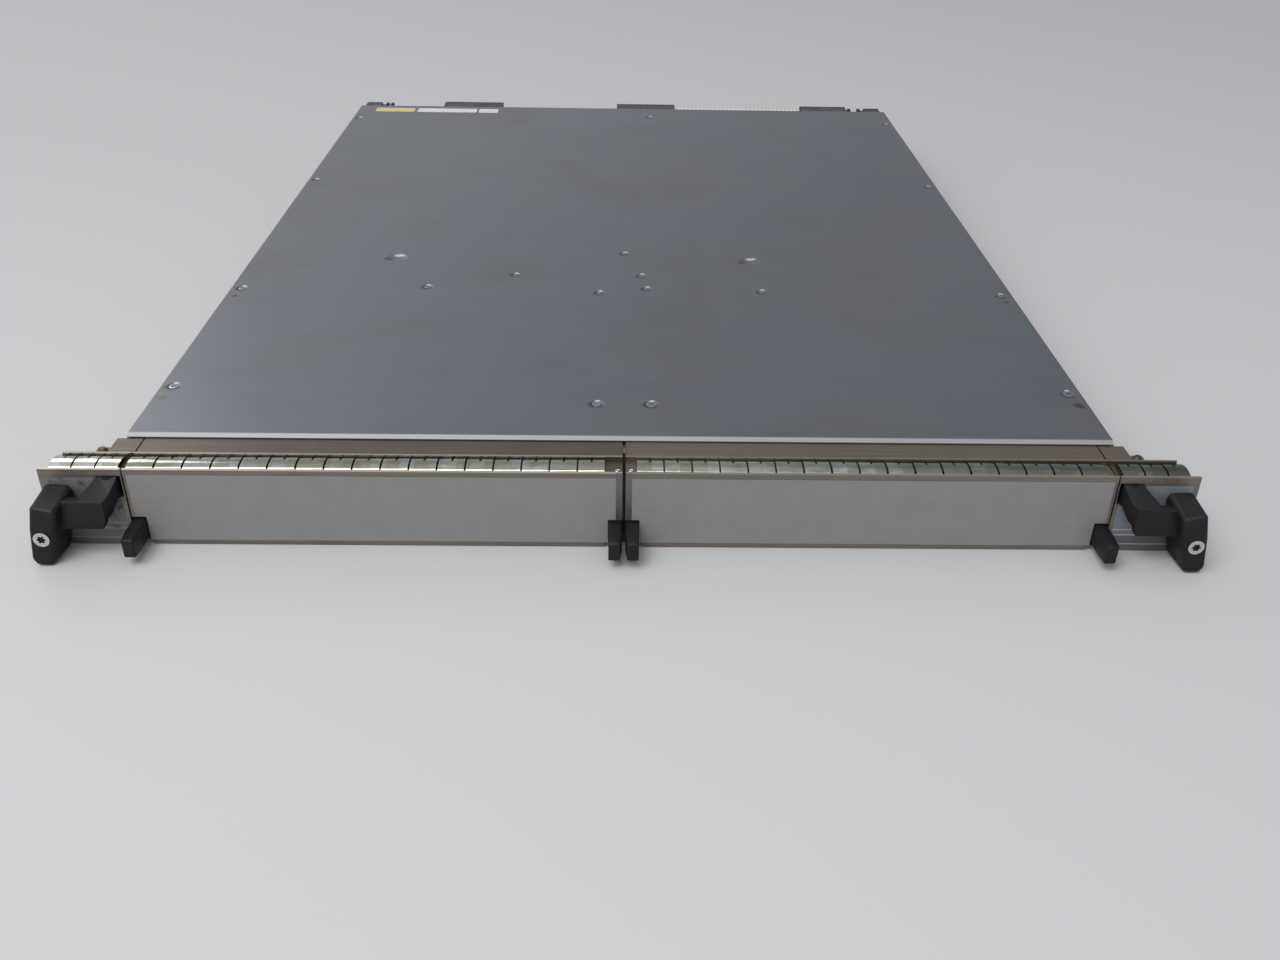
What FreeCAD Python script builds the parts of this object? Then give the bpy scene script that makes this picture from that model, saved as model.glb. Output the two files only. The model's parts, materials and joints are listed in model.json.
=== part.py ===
# Line card for a modular network switch: a shallow sheet-metal drawer with a circuit board, a flat
# cover, backplane connectors at the rear, and at the front two blanked module bays between a pair
# of end plates that carry the ejector levers.
#
# Millimetres. X runs across the card and Z up. Outlines are drawn with Y measured back from the
# front face of the plates. Every sub-part is then placed by one common shift along Y, so that the
# origin of the card is the centre of its outline on the plane it rests on.

import FreeCAD, Part
import Sketcher
import os
import re
from FreeCAD import Vector

doc = FreeCAD.newDocument("LineCard")

# ---------------------------------------------------------------------------------------------
# Driving dimensions
# ---------------------------------------------------------------------------------------------

DRIVING = [
    ("body_width", 384.8, "over the side walls and the cover"),
    ("ear_reach", 23.9, "end plate beyond the outer face of the side wall"),
    ("plate_overlap", 6.5, "end plate inboard of the outer face of the side wall"),
    ("card_width", "body_width + 2 * ear_reach", "over the end plates"),
    ("card_depth", 543.6, "front face of the plates to the rear of the backplane connectors"),
    ("lip_height", 33.1, "front lip and cover top above the rest plane"),
    ("tray_sheet", 1.2, "sheet of the tray"),
    ("cover_sheet", 1.2, "sheet of the cover"),
    ("cover_nose", 1.9, "length of the slope that is rolled on the front edge of the cover"),
    ("cover_nose_edge", 0.3, "upright part left under that slope"),
    ("tray_front", 1.8, "front edge of the tray floor"),
    ("wall_front", 18.0, "front edge of the side walls"),
    ("wall_flange", 9.0, "inward flange at the top of each side wall"),
    ("wall_flange_front", 38.0, "front edge of those flanges"),
    ("cover_front", 26.4, "front edge of the cover"),
    ("cover_setback", 20.7, "rear edge of the cover and the tray ahead of the connectors' rear"),
    ("cover_rear", "card_depth - cover_setback", "rear edge of the cover and the tray"),
    ("vent_width", 3.6, "side vent slot along the wall"),
    ("vent_height", 15.0, "side vent slot upward"),
    ("vent_sill", 8.0, "lower edge of the vent slots"),
    ("vent_first", 62.0, "front edge of the first vent slot"),
    ("vent_margin", 28.3, "wall left behind the last vent slot"),
    ("vent_count", 30, "vent slots in each side wall"),
    ("vent_pitch", "(cover_rear - vent_first - vent_width - vent_margin) / (vent_count - 1)",
     "spacing of the vent slots"),
    ("plate_sheet", 1.5, "sheet of the front plates"),
    ("lip_sheet", 1.1, "thickness of the front lip"),
    ("channel_depth", 1.9, "gasket channel below the front lip"),
    ("channel_sheet", 0.9, "sheet of the gasket channel and of the rear flanges"),
    ("back_lip_near", 12.4, "near face of the lip behind the gasket"),
    ("back_lip_sheet", 1.0, "thickness of that lip"),
    ("back_lip_drop", 0.2, "how much lower that lip is than the front one"),
    ("slide_gap", 0.3, "running clearance between sliding sheets"),
    ("seam", 0.6, "half the seam between the two blanks, and the seam at each end plate"),
    ("end_plate_width", "ear_reach + plate_overlap", "one end plate along the front"),
    ("blank_foot", 0.4, "lower edge of a blank above the rest plane"),
    ("blank_flange_reach", 34.0, "how far a blank's upper flange slides under the cover"),
    ("blank_runner_reach", 30.0, "how far a blank's lower flange reaches back"),
    ("notch_width", 6.6, "notch at each lower corner of a blank's sheet"),
    ("notch_height", 12.3, "upper edge of those notches"),
    ("film_notch_width", 5.4, "the same notch in the finish sheet, closer round the tab"),
    ("overlay_sheet", 0.25, "finish sheet bonded on each blank"),
    ("overlay_margin", 2.3, "bare metal left above and below the finish sheet"),
    ("overlay_inset", 2.4, "bare metal left beside the finish sheet at the middle seam"),
    ("gasket_sheet", 0.3, "spring sheet of the gasket fingers"),
    ("gasket_near", 2.3, "near edge of the gasket"),
    ("gasket_far", 12.0, "free edge of the fingers"),
    ("gasket_rise", 2.2, "crest of the fingers above the channel floor"),
    ("gasket_shoulder", 1.5, "outer edges of the crest's flat above the channel floor"),
    ("gasket_tail", 0.8, "free edge of the fingers above the channel floor"),
    ("gasket_foot", 5.4, "foot of the gasket on the channel floor"),
    ("gasket_inset", 0.3, "gasket inside the outer end of a blank"),
    ("gasket_bare", 7.0, "channel left bare between the left gasket and the middle"),
    ("gasket_length", "body_width / 2 - plate_overlap - seam - gasket_inset - gasket_bare",
     "gasket on a blank"),
    ("finger_count", 17, "finger pairs on each blank"),
    ("finger_pitch", "gasket_length / finger_count", "one gasket finger pair to the next"),
    ("finger_slit", 0.4, "slit between two fingers"),
    ("end_finger_count", 2, "slits between finger pairs on each end plate"),
    ("left_gasket_start", "-(gasket_bare + gasket_length)", "left end of the left blank's gasket"),
    ("right_gasket_start", 4.5, "left end of the right blank's gasket"),
    ("channel_inset", 2.0, "gasket channel short of the end plate's outer edge"),
    ("channel_end", "card_width / 2 - channel_inset", "outer end of the gasket channel"),
    ("back_lip_inset", 4.6, "lip behind the gasket short of the end plate's outer edge"),
    ("back_lip_end", "card_width / 2 - back_lip_inset", "outer end of the lip behind the gasket"),
    ("end_gasket_inset", 1.3, "gasket end inboard of the end plate's seam"),
    ("end_gasket_outset", 0.9, "gasket short of the channel's outer end"),
    ("end_gasket_length", "channel_end - end_gasket_outset - end_gasket_inset - body_width / 2 + plate_overlap",
     "gasket on an end plate"),
    ("shoulder_out", 3.6, "rear flange of an end plate beyond the side wall"),
    ("rivet_out", 5.6, "rivet behind the back lip, beyond the side wall"),
    ("rivet_x", "body_width / 2 + rivet_out", "rivet from the middle"),
    ("rivet_y", 16.3, "rivet behind the front face"),
    ("rivet_head", 1.9, "radius of the rivet's head"),
    ("rivet_rise", 1.3, "height of the rivet's head"),
    ("return_reach", 44.0, "side flange of an end plate along the tray's wall"),
    ("return_top", 17.0, "upper edge of that flange"),
    ("pivot_in", 1.2, "lever pivot inboard of the outer face of the side wall"),
    ("pivot_x", "body_width / 2 - pivot_in", "lever pivot from the middle"),
    ("pivot_y", 2.2, "lever pivot behind the front face"),
    ("pivot_radius", 1.2, "pivot pin"),
    ("pivot_clearance", 0.08, "radial running clearance on the pivot pin"),
    ("knuckle_radius", 3.5, "round end of the lever on its pivot"),
    ("slot_in", 6.1, "inner side of the lever's slot, inboard of the wall's outer face"),
    ("slot_out", 2.9, "outer side of the lever's slot, beyond the wall's outer face"),
    ("slot_sill", 21.2, "lower edge of the lever's slot"),
    ("bracket_sheet", 1.2, "lower hinge flange"),
    ("bracket_reach", 8.0, "lower hinge flange behind the front face"),
    ("lever_gap", 0.3, "lever above its lower flange and under the channel"),
    ("neck_drop", 2.0, "where the arm may widen downward, in front of the plates"),
    ("arm_in", 4.8, "inner side of the lever arm at the plate, inboard of the wall's outer face"),
    ("arm_inner", "body_width / 2 - arm_in", "inner side of the lever arm from the middle"),
    ("arm_out", 2.3, "outer side of the lever arm at the plate, beyond the wall's outer face"),
    ("arm_outer", "body_width / 2 + arm_out", "outer side of the lever arm at the plate, from the middle"),
    ("arm_rake", 3.0, "how far the arm's inner side leans outward to its near face"),
    ("arm_bow", 4.6, "how much the arm's outer side leans outward to its beam"),
    ("beam_near", 10.2, "near face of the arm's cross beam, in front of the plates"),
    ("beam_far", 6.2, "far face of the arm's cross beam, in front of the plates"),
    ("beam_bottom", 13.5, "lower edge of the cross beam"),
    ("beam_shoulder", 17.8, "lower edge of the neck where it meets the cross beam"),
    ("beam_top", 24.8, "upper edge of the cross beam"),
    ("beam_chamfer", 1.3, "slope of the beam's lower inner corner"),
    ("jaw_thickness", 4.5, "jaw of the lever, upward"),
    ("jaw_bottom", 22.6, "lower face of the jaw"),
    ("jaw_out", 4.8, "tip of the jaw beyond the wall's outer face"),
    ("jaw_tip_x", "body_width / 2 + jaw_out", "tip of the jaw from the middle"),
    ("jaw_tip_y", 12.6, "tip of the jaw behind the front face"),
    ("jaw_radius", 2.4, "round end of the jaw"),
    ("grip_reach", 15.4, "near face of the grip in front of the plates"),
    ("grip_back", 0.9, "far face of the grip in front of the plates"),
    ("grip_out", 11.6, "inner side of the grip beyond the wall's outer face"),
    ("grip_inner", "body_width / 2 + grip_out", "inner side of the grip at its top, from the middle"),
    ("grip_top", 27.8, "top of the grip at its far face"),
    ("grip_brow", 25.9, "top of the grip at its near face"),
    ("grip_sole", 0.3, "lowest point of the grip"),
    ("tang_bottom", 9.4, "lower edge of the tang inside the grip"),
    ("tang_out", 22.2, "outer end of the tang beyond the wall's outer face"),
    ("tang_end", "body_width / 2 + tang_out", "outer end of the tang, from the middle"),
    ("tang_gap", 0.15, "clearance round the tang"),
    ("screw_out", 20.5, "grip screw beyond the wall's outer face"),
    ("screw_x", "body_width / 2 + screw_out", "grip screw from the middle"),
    ("screw_z", 12.3, "grip screw above the rest plane"),
    ("screw_head_radius", 3.0, "head of the grip screw"),
    ("screw_head_proud", 0.5, "head of the grip screw in front of the grip"),
    ("screw_head_depth", 1.6, "head of the grip screw along its axis"),
    ("screw_shank_radius", 1.25, "shank of the grip screw"),
    ("screw_length", 7.6, "grip screw under its head"),
    ("socket_radius", 1.1, "hexagon socket of the grip screw"),
    ("socket_depth", 0.9, "depth of that socket"),
    ("tab_reach", 15.4, "bay ejector tab in front of the plates"),
    ("tab_back", 2.0, "rear face of a tab behind the front face"),
    ("tab_width", 5.0, "bay ejector tab along the front"),
    ("tab_bottom", 3.4, "lower edge of a tab"),
    ("tab_top", 11.9, "upper edge of a tab"),
    ("tab_taper", 0.6, "narrowing of a tab's near end on the seam's side"),
    ("tab_waist", 9.5, "where a tab starts to narrow, in front of the plates"),
    ("bar_sheet", 1.5, "thickness of a tab's bar"),
    ("bar_bottom", 4.4, "lower edge of a bar"),
    ("bar_top", 10.0, "upper edge of a bar"),
    ("bar_reach", 132.0, "rear end of a bar"),
    ("bar_hook", 4.0, "inward hook at the rear end of a bar"),
    ("rail_gap", 0.4, "bar to the rail that guides it"),
    ("rail_depth", 7.6, "side rail of a bay, along the front"),
    ("rail_sheet", 1.0, "sheet of the rails and of the divider"),
    ("rail_front", 20.0, "front end of the rails and of the divider"),
    ("divider_flange", 15.0, "half the width of the divider's flanges"),
    ("web_drop", 1.6, "divider web below the cover in front of its flanges"),
    ("bay_rear", 172.0, "front face of the cross member behind the bays"),
    ("member_depth", 8.0, "cross member along the card"),
    ("member_sheet", 1.0, "sheet of the cross member"),
    ("bay_port_near", 62.0, "inner side of a bay connector's opening, from the middle"),
    ("bay_port_far", 122.0, "outer side of a bay connector's opening, from the middle"),
    ("bay_port_bottom", 8.1, "lower edge of a bay connector's opening"),
    ("bay_port_top", 20.1, "upper edge of a bay connector's opening"),
    ("port_gap", 0.3, "bay connector inside its opening"),
    ("bay_connector_reach", 9.0, "bay connector in front of the cross member"),
    ("bay_connector_tail", 13.0, "bay connector behind the cross member"),
    ("board_sheet", 1.6, "circuit board"),
    ("board_bottom", 6.4, "lower face of the circuit board"),
    ("board_margin", 3.0, "circuit board inside the side walls"),
    ("board_setback", 1.9, "circuit board ahead of the cover's rear edge"),
    ("standoff_flats", 6.0, "standoffs over two opposite corners"),
    ("standoff_inset", 32.4, "outer standoffs inside the wall's outer face"),
    ("standoff_x", "body_width / 2 - standoff_inset", "outer standoffs from the middle"),
    ("standoff_y", 196.0, "front standoffs behind the front face"),
    ("standoff_margin", 26.9, "rear standoffs ahead of the cover's rear edge"),
    ("standoff_rows", 4, "standoffs along the card on each side"),
    ("standoff_pitch", "(cover_rear - standoff_margin - standoff_y) / (standoff_rows - 1)",
     "standoffs along the card"),
    ("sink_base", 3.0, "heat sink base"),
    ("sink_top", 27.5, "top of the heat sink fins"),
    ("sink_width", 72.0, "heat sink along the card's width"),
    ("sink_length", 78.0, "heat sink along the card's depth"),
    ("sink_y", 262.0, "front face of the heat sinks"),
    ("sink_margin", 44.4, "outer heat sinks inside the wall's outer face"),
    ("sink_spacing", "(body_width - sink_width) / 2 - sink_margin", "heat sinks across the card"),
    ("fin_sheet", 1.6, "heat sink fin"),
    ("fin_count", 9, "fins on a heat sink"),
    ("connector_length", 38.6, "backplane connectors along the card"),
    ("connector_front", "card_depth - connector_length", "front face of the backplane connectors"),
    ("connector_top", 31.0, "top of the backplane connectors"),
    ("left_connector_inset", 58.9, "left backplane connector inside the wall's outer face"),
    ("left_connector_x", "left_connector_inset - body_width / 2", "left end of the left backplane connector"),
    ("centre_connector_x", -5.2, "left end of the centre backplane connector"),
    ("right_connector_inset", 59.8, "left end of the right backplane connector inside the wall's outer face"),
    ("right_connector_x", "body_width / 2 - right_connector_inset", "left end of the right backplane connector"),
    ("connector_wall", 2.4, "outer walls of a backplane connector"),
    ("connector_width", 43.2, "left and centre backplane connectors across the card"),
    ("wafer_gap", 1.6, "slot between two wafers"),
    ("wafer_depth", 9.0, "slots into the mating face"),
    ("wafer_count", 9, "slots in the left and centre backplane connectors"),
    ("wafer_pitch", "(connector_width - 2 * connector_wall - wafer_gap) / (wafer_count - 1)",
     "wafers of a backplane connector"),
    ("short_wafer_count", 7, "slots in the right backplane connector"),
    ("header_gap", 1.0, "ribbed header from the centre backplane connector"),
    ("header_far_gap", 3.4, "ribbed header from the right backplane connector"),
    ("header_x", "centre_connector_x + connector_width + header_gap", "left end of the ribbed header"),
    ("header_setback", 3.6, "rear face of the ribbed header ahead of the connectors' rear"),
    ("header_rear", "card_depth - header_setback", "rear face of the ribbed header"),
    ("header_length", 28.0, "ribbed header along the card"),
    ("header_front", "header_rear - header_length", "front face of the ribbed header"),
    ("header_top", 29.0, "top of the ribbed header"),
    ("header_body", 16.0, "ribbed header's solid body along the card"),
    ("header_width", "right_connector_x - header_far_gap - header_x", "ribbed header across the card"),
    ("rib_width", 1.3, "rib of the header"),
    ("rib_count", 36, "ribs of the header"),
    ("rib_pitch", "(header_width - rib_width) / (rib_count - 1)", "ribs of the header, one to the next"),
    ("guide_width", 13.4, "guide block along the rear"),
    ("guide_setback", 6.6, "rear face of the guide blocks ahead of the connectors' rear"),
    ("guide_rear", "card_depth - guide_setback", "rear face of the guide blocks"),
    ("guide_length", 37.0, "guide blocks along the card"),
    ("guide_front", "guide_rear - guide_length", "front face of the guide blocks"),
    ("guide_inset", 1.6, "outer side of the guide blocks inside the wall's outer face"),
    ("guide_outer", "body_width / 2 - guide_inset", "outer side of the guide blocks, from the middle"),
    ("guide_ear", 9.6, "key lug beside a guide block, along the rear"),
    ("guide_ear_top", 24.0, "top of the key lug"),
    ("guide_bore", 3.2, "radius of the guide pin bore"),
    ("guide_bore_depth", 24.0, "depth of the guide pin bore"),
    ("guide_bore_z", 20.0, "axis of the guide pin bore above the rest plane"),
]

# A size that is given as text follows from the sizes above it.
sizes = doc.addObject("Spreadsheet::Sheet", "Sizes")
for row, (name, number, meaning) in enumerate(DRIVING, start=1):
    sizes.set(f"A{row}", name)
    sizes.set(f"B{row}", f"={number}" if isinstance(number, str) else str(number))
    sizes.set(f"C{row}", meaning)
    sizes.setAlias(f"B{row}", name)
doc.recompute()

NAMES = {name for name, number, meaning in DRIVING}

# Heights and places that follow from the driving dimensions, written as formulas in their names.
HALF_CARD = "(card_width / 2)"
HALF_BODY = "(body_width / 2)"
PLATE_INNER = "(card_width / 2 - end_plate_width)"
BLANK_OUTER = "(card_width / 2 - end_plate_width - seam)"
COVER_UNDER = "(lip_height - cover_sheet)"
CHANNEL_TOP = "(lip_height - channel_depth)"
CHANNEL_UNDER = "(lip_height - channel_depth - channel_sheet)"
FLANGE_TOP = "(lip_height - cover_sheet - slide_gap)"
BACK_LIP_FAR = "(back_lip_near + back_lip_sheet)"
BACK_LIP_TOP = "(lip_height - back_lip_drop)"
BOARD_TOP = "(board_bottom + board_sheet)"
FRAME_SHIFT = "(grip_reach - card_depth) / 2"


def bound(formula):
    """The formula with each name of the sheet written the way another object reads it."""
    return re.sub(
        r"[A-Za-z_]\w*",
        lambda word: "Sizes." + word.group(0) if word.group(0) in NAMES else word.group(0),
        str(formula),
    )


def worth(formula):
    """The formula's present number."""
    return float(sizes.evalExpression(bound(formula)))


# ---------------------------------------------------------------------------------------------
# Modelling helpers
# ---------------------------------------------------------------------------------------------

# For each plane: the sign that turns a station on the world axis into the sketch's own offset.
PLANE_SIGN = {"XY": 1, "XZ": -1, "YZ": 1}
SUBPARTS = []


def new_body(name, x="0", y="0", z="0"):
    """A body whose own origin stands at x, y, z of the card."""
    body = doc.addObject("PartDesign::Body", name)
    body.Label = name
    body.setExpression("Placement.Base.x", bound(x))
    body.setExpression("Placement.Base.y", bound(f"({y}) + {FRAME_SHIFT}"))
    body.setExpression("Placement.Base.z", bound(z))
    SUBPARTS.append(body)
    return body


def origin_feature(body, role):
    """One of the body's own origin planes or axes."""
    for feature in body.Origin.OriginFeatures:
        if feature.Role == role:
            return feature
    raise LookupError(role)


def outline(body, name, plane, station, corners):
    """A sketch on a plane at a station, with each corner held by two distances from the origin.

    A corner is (u, v), or (u, v, radius, side) where the edge that leaves it is an arc: side is 1
    for an arc that bulges to the right of the way round, and -1 for one that bulges to the left.
    """
    sketch = body.newObject("Sketcher::SketchObject", name)
    sketch.AttachmentSupport = [(origin_feature(body, plane + "_Plane"), "")]
    sketch.MapMode = "FlatFace"
    sketch.setExpression("AttachmentOffset.Base.z", bound(f"{PLANE_SIGN[plane]} * ({station})"))
    points = [Vector(worth(corner[0]), worth(corner[1]), 0) for corner in corners]
    ends = []
    for index, corner in enumerate(corners):
        start = points[index]
        finish = points[(index + 1) % len(points)]
        if len(corner) == 2:
            edge = sketch.addGeometry(Part.LineSegment(start, finish))
            ends.append((edge, 1, 2))
            continue
        radius = worth(corner[2])
        chord = finish - start
        right = Vector(chord.y, -chord.x, 0).normalize() * corner[3]
        sagitta = radius - (radius ** 2 - (chord.Length / 2) ** 2) ** 0.5
        middle = (start + finish) * 0.5 + right * sagitta
        edge = sketch.addGeometry(Part.Arc(start, middle, finish))
        if sketch.getPoint(edge, 1).distanceToPoint(start) < 1e-6:
            ends.append((edge, 1, 2))
        else:
            ends.append((edge, 2, 1))
    for index, corner in enumerate(corners):
        edge, first, last = ends[index]
        following = ends[(index + 1) % len(ends)]
        sketch.addConstraint(Sketcher.Constraint("Coincident", edge, last, following[0], following[1]))
        hold(sketch, "DistanceX", (-1, 1, edge, first), corner[0])
        hold(sketch, "DistanceY", (-1, 1, edge, first), corner[1])
        if len(corner) > 2:
            hold(sketch, "Radius", (edge,), corner[2])
    return sketch


def hold(sketch, kind, where, formula):
    """One dimension of a sketch, bound to its formula."""
    number = sketch.addConstraint(Sketcher.Constraint(kind, *where, worth(formula)))
    sketch.setExpression(f"Constraints[{number}]", bound(formula))


def circle(body, name, plane, station, across, up, radius):
    """A sketch of one circle."""
    sketch = body.newObject("Sketcher::SketchObject", name)
    sketch.AttachmentSupport = [(origin_feature(body, plane + "_Plane"), "")]
    sketch.MapMode = "FlatFace"
    sketch.setExpression("AttachmentOffset.Base.z", bound(f"{PLANE_SIGN[plane]} * ({station})"))
    centre = Vector(worth(across), worth(up), 0)
    sketch.addGeometry(Part.Circle(centre, Vector(0, 0, 1), worth(radius)))
    hold(sketch, "DistanceX", (-1, 1, 0, 3), across)
    hold(sketch, "DistanceY", (-1, 1, 0, 3), up)
    hold(sketch, "Radius", (0,), radius)
    return sketch


def pad(body, name, sketch, length):
    """Material from the sketch along its plane's normal."""
    feature = body.newObject("PartDesign::Pad", name)
    feature.Profile = sketch
    feature.setExpression("Length", bound(length))
    doc.recompute()
    return feature


def pocket(body, name, sketch, length):
    """Material taken away behind the sketch. A pocket that meets nothing is an error."""
    before = body.Shape.Volume
    feature = body.newObject("PartDesign::Pocket", name)
    feature.Profile = sketch
    feature.setExpression("Length", bound(length))
    doc.recompute()
    if body.Shape.Volume > before - 1e-3:
        raise RuntimeError(f"{name} of {body.Label} cuts nothing")
    return feature


def prism(body, name, plane, low, high, corners):
    """Pad an outline between two stations on the axis across its plane."""
    station = high if plane == "XZ" else low
    return pad(body, name, outline(body, name + "Outline", plane, station, corners), f"({high}) - ({low})")


def rod(body, name, plane, low, high, across, up, radius):
    """Pad a circle between two stations on the axis across its plane."""
    station = high if plane == "XZ" else low
    return pad(body, name, circle(body, name + "Outline", plane, station, across, up, radius),
               f"({high}) - ({low})")


def carve(body, name, plane, low, high, corners):
    """Take an outline away between two stations on the axis across its plane."""
    station = low if plane == "XZ" else high
    return pocket(body, name, outline(body, name + "Outline", plane, station, corners),
                  f"({high}) - ({low})")


def drill(body, name, plane, low, high, across, up, radius):
    """Take a circle away between two stations on the axis across its plane."""
    station = low if plane == "XZ" else high
    return pocket(body, name, circle(body, name + "Outline", plane, station, across, up, radius),
                  f"({high}) - ({low})")


def revolve(body, name, plane, axis, corners):
    """Turn an outline about one of the body's own axes."""
    feature = body.newObject("PartDesign::Revolution", name)
    feature.Profile = outline(body, name + "Outline", plane, "0", corners)
    feature.ReferenceAxis = (origin_feature(body, axis + "_Axis"), [""])
    feature.Angle = 360
    doc.recompute()
    return feature


def repeat(body, name, feature, axis, pitch, count):
    """Repeat a feature along one of the body's own axes."""
    pattern = body.newObject("PartDesign::LinearPattern", name)
    pattern.Originals = [feature]
    pattern.Direction = (origin_feature(body, axis + "_Axis"), [""])
    pattern.Mode = "Spacing"
    pattern.setExpression("Offset", bound(pitch))
    pattern.setExpression("Occurrences", bound(count))
    body.Tip = pattern
    doc.recompute()
    return pattern


def rectangle(left, low, right, high):
    """The four corners of a rectangle."""
    return [(left, low), (right, low), (right, high), (left, high)]


def mirrored(side, corners):
    """The corners as they are on the right, or turned over for the left."""
    return [(f"{side} * ({corner[0]})", *turned(side, corner)) for corner in corners]


def turned(side, corner):
    """The rest of a corner after its first number; an arc bulges the other way when turned over."""
    if len(corner) == 2:
        return (corner[1],)
    return (corner[1], corner[2], side * corner[3])


def span(side, near, far):
    """Two stations, from the middle outward on one side, in rising order."""
    if side > 0:
        return near, far
    return f"-({far})", f"-({near})"


SIDES = (("left", -1), ("right", 1))

# ---------------------------------------------------------------------------------------------
# Tray, cover and frame
# ---------------------------------------------------------------------------------------------


def make_base_tray():
    """One folded sheet: floor, two side walls with vents, and the flanges that carry the cover."""
    tray = new_body("base_tray")
    wall = f"({HALF_BODY} - tray_sheet)"
    flange = f"({HALF_BODY} - wall_flange)"
    flange_under = f"({COVER_UNDER} - tray_sheet)"
    prism(tray, "Section", "XZ", "tray_front", "cover_rear", [
        (f"-{HALF_BODY}", "0"), (HALF_BODY, "0"),
        (HALF_BODY, COVER_UNDER), (flange, COVER_UNDER), (flange, flange_under),
        (wall, flange_under), (wall, "tray_sheet"), (f"-{wall}", "tray_sheet"),
        (f"-{wall}", flange_under), (f"-{flange}", flange_under),
        (f"-{flange}", COVER_UNDER), (f"-{HALF_BODY}", COVER_UNDER),
    ])
    beyond = "body_width"
    carve(tray, "WallFronts", "XZ", "0", "wall_front",
          rectangle(f"-{beyond}", "tray_sheet", beyond, "lip_height"))
    carve(tray, "FlangeFronts", "XZ", "0", "wall_flange_front",
          rectangle(f"-{wall}", "vent_sill", wall, "lip_height"))
    # The shoulders of the end plates rest on the walls in front of the cover.
    carve(tray, "WallTops", "XZ", "0", "cover_front",
          rectangle(f"-{beyond}", f"{FLANGE_TOP} - channel_sheet", beyond, "lip_height"))
    vent_top = "vent_sill + vent_height"
    vent = carve(tray, "Vent", "YZ", f"-{beyond}", beyond,
                 rectangle("vent_first", "vent_sill", "vent_first + vent_width", vent_top))
    repeat(tray, "Vents", vent, "Y", "vent_pitch", "vent_count")
    for name, side in SIDES:
        centre = f"{side} * standoff_x"
        corners = []
        for across, along in ((1, 0), (0.5, 0.866), (-0.5, 0.866), (-1, 0), (-0.5, -0.866), (0.5, -0.866)):
            corners.append((f"{centre} + {across} * standoff_flats / 2",
                            f"standoff_y + {along} * standoff_flats / 2"))
        title = name.capitalize() + "Standoff"
        post = prism(tray, title, "XY", "tray_sheet", "board_bottom", corners)
        repeat(tray, title + "s", post, "Y", "standoff_pitch", "standoff_rows")
    return tray


def make_top_cover():
    """The flat cover, flush with the front lip, with its front edge rolled down."""
    cover = new_body("top_cover")
    prism(cover, "Sheet", "YZ", f"-{HALF_BODY}", HALF_BODY, [
        ("cover_front", COVER_UNDER), ("cover_rear", COVER_UNDER), ("cover_rear", "lip_height"),
        ("cover_front + cover_nose", "lip_height"), ("cover_front", f"{COVER_UNDER} + cover_nose_edge"),
    ])
    return cover


def make_cross_member():
    """A channel across the card behind the bays, with an opening for each bay's connector."""
    member = new_body("cross_member")
    inner = f"({HALF_BODY} - tray_sheet)"
    far = "(bay_rear + member_depth)"
    prism(member, "Section", "YZ", f"-{inner}", inner, [
        ("bay_rear", "tray_sheet"), (far, "tray_sheet"), (far, "tray_sheet + member_sheet"),
        ("bay_rear + member_sheet", "tray_sheet + member_sheet"),
        ("bay_rear + member_sheet", f"{COVER_UNDER} - member_sheet"),
        (far, f"{COVER_UNDER} - member_sheet"), (far, COVER_UNDER), ("bay_rear", COVER_UNDER),
    ])
    # The side walls' flanges pass over its ends.
    for name, side in SIDES:
        low, high = span(side, f"{HALF_BODY} - wall_flange - slide_gap", HALF_BODY)
        carve(member, name.capitalize() + "Relief", "XZ", "bay_rear - 1", f"{far} + 1",
              rectangle(low, f"{COVER_UNDER} - tray_sheet", high, "lip_height"))
        low, high = span(side, "bay_port_near", "bay_port_far")
        carve(member, name.capitalize() + "Port", "XZ", "bay_rear - 1", "bay_rear + member_sheet",
              rectangle(low, "bay_port_bottom", high, "bay_port_top"))
    return member


def make_bay_divider():
    """An I section between the bays; its upper flange starts behind the blanks' flanges."""
    divider = new_body("bay_divider")
    web = "rail_sheet / 2"
    low = "(tray_sheet + rail_sheet)"
    high = f"({COVER_UNDER} - rail_sheet)"
    corners = [
        ("-divider_flange", "tray_sheet"), ("divider_flange", "tray_sheet"), ("divider_flange", low),
        (web, low), (web, high), ("divider_flange", high), ("divider_flange", COVER_UNDER),
        ("-divider_flange", COVER_UNDER), ("-divider_flange", high), (f"-{web}", high),
        (f"-{web}", low), ("-divider_flange", low),
    ]
    prism(divider, "Section", "XZ", "rail_front", "bay_rear", corners)
    carve(divider, "Relief", "XZ", "0", "wall_flange_front",
          rectangle("-divider_flange - 1", f"{COVER_UNDER} - web_drop", "divider_flange + 1", "lip_height"))
    # The blanks' lower flanges slide over the tray in front of its lower flange.
    for name, side in SIDES:
        low, high = span(side, "rail_sheet / 2", "divider_flange + 1")
        carve(divider, name.capitalize() + "Step", "XZ", "0", "blank_runner_reach + 1",
              rectangle(low, "0", high, "bar_bottom"))
    return divider


def make_bay_rail(name, side):
    """The rail beside a bay: a C section against the tray's wall that guides the tab's bar."""
    rail = new_body(f"bay_rail_{name}")
    outer = f"({HALF_BODY} - tray_sheet)"
    inner = f"({HALF_BODY} - tray_sheet - rail_depth)"
    top = f"({COVER_UNDER} - tray_sheet)"
    prism(rail, "Section", "XZ", "rail_front", "bay_rear", mirrored(side, [
        (inner, "tray_sheet"), (outer, "tray_sheet"), (outer, "tray_sheet + rail_sheet"),
        (f"{inner} + rail_sheet", "tray_sheet + rail_sheet"),
        (f"{inner} + rail_sheet", f"{top} - rail_sheet"),
        (outer, f"{top} - rail_sheet"), (outer, top), (inner, top),
    ]))
    low, high = span(side, f"{inner} - 1", HALF_BODY)
    carve(rail, "Relief", "XZ", "0", "wall_flange_front",
          rectangle(low, f"{COVER_UNDER} - 2 * web_drop", high, "lip_height"))
    return rail


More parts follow.
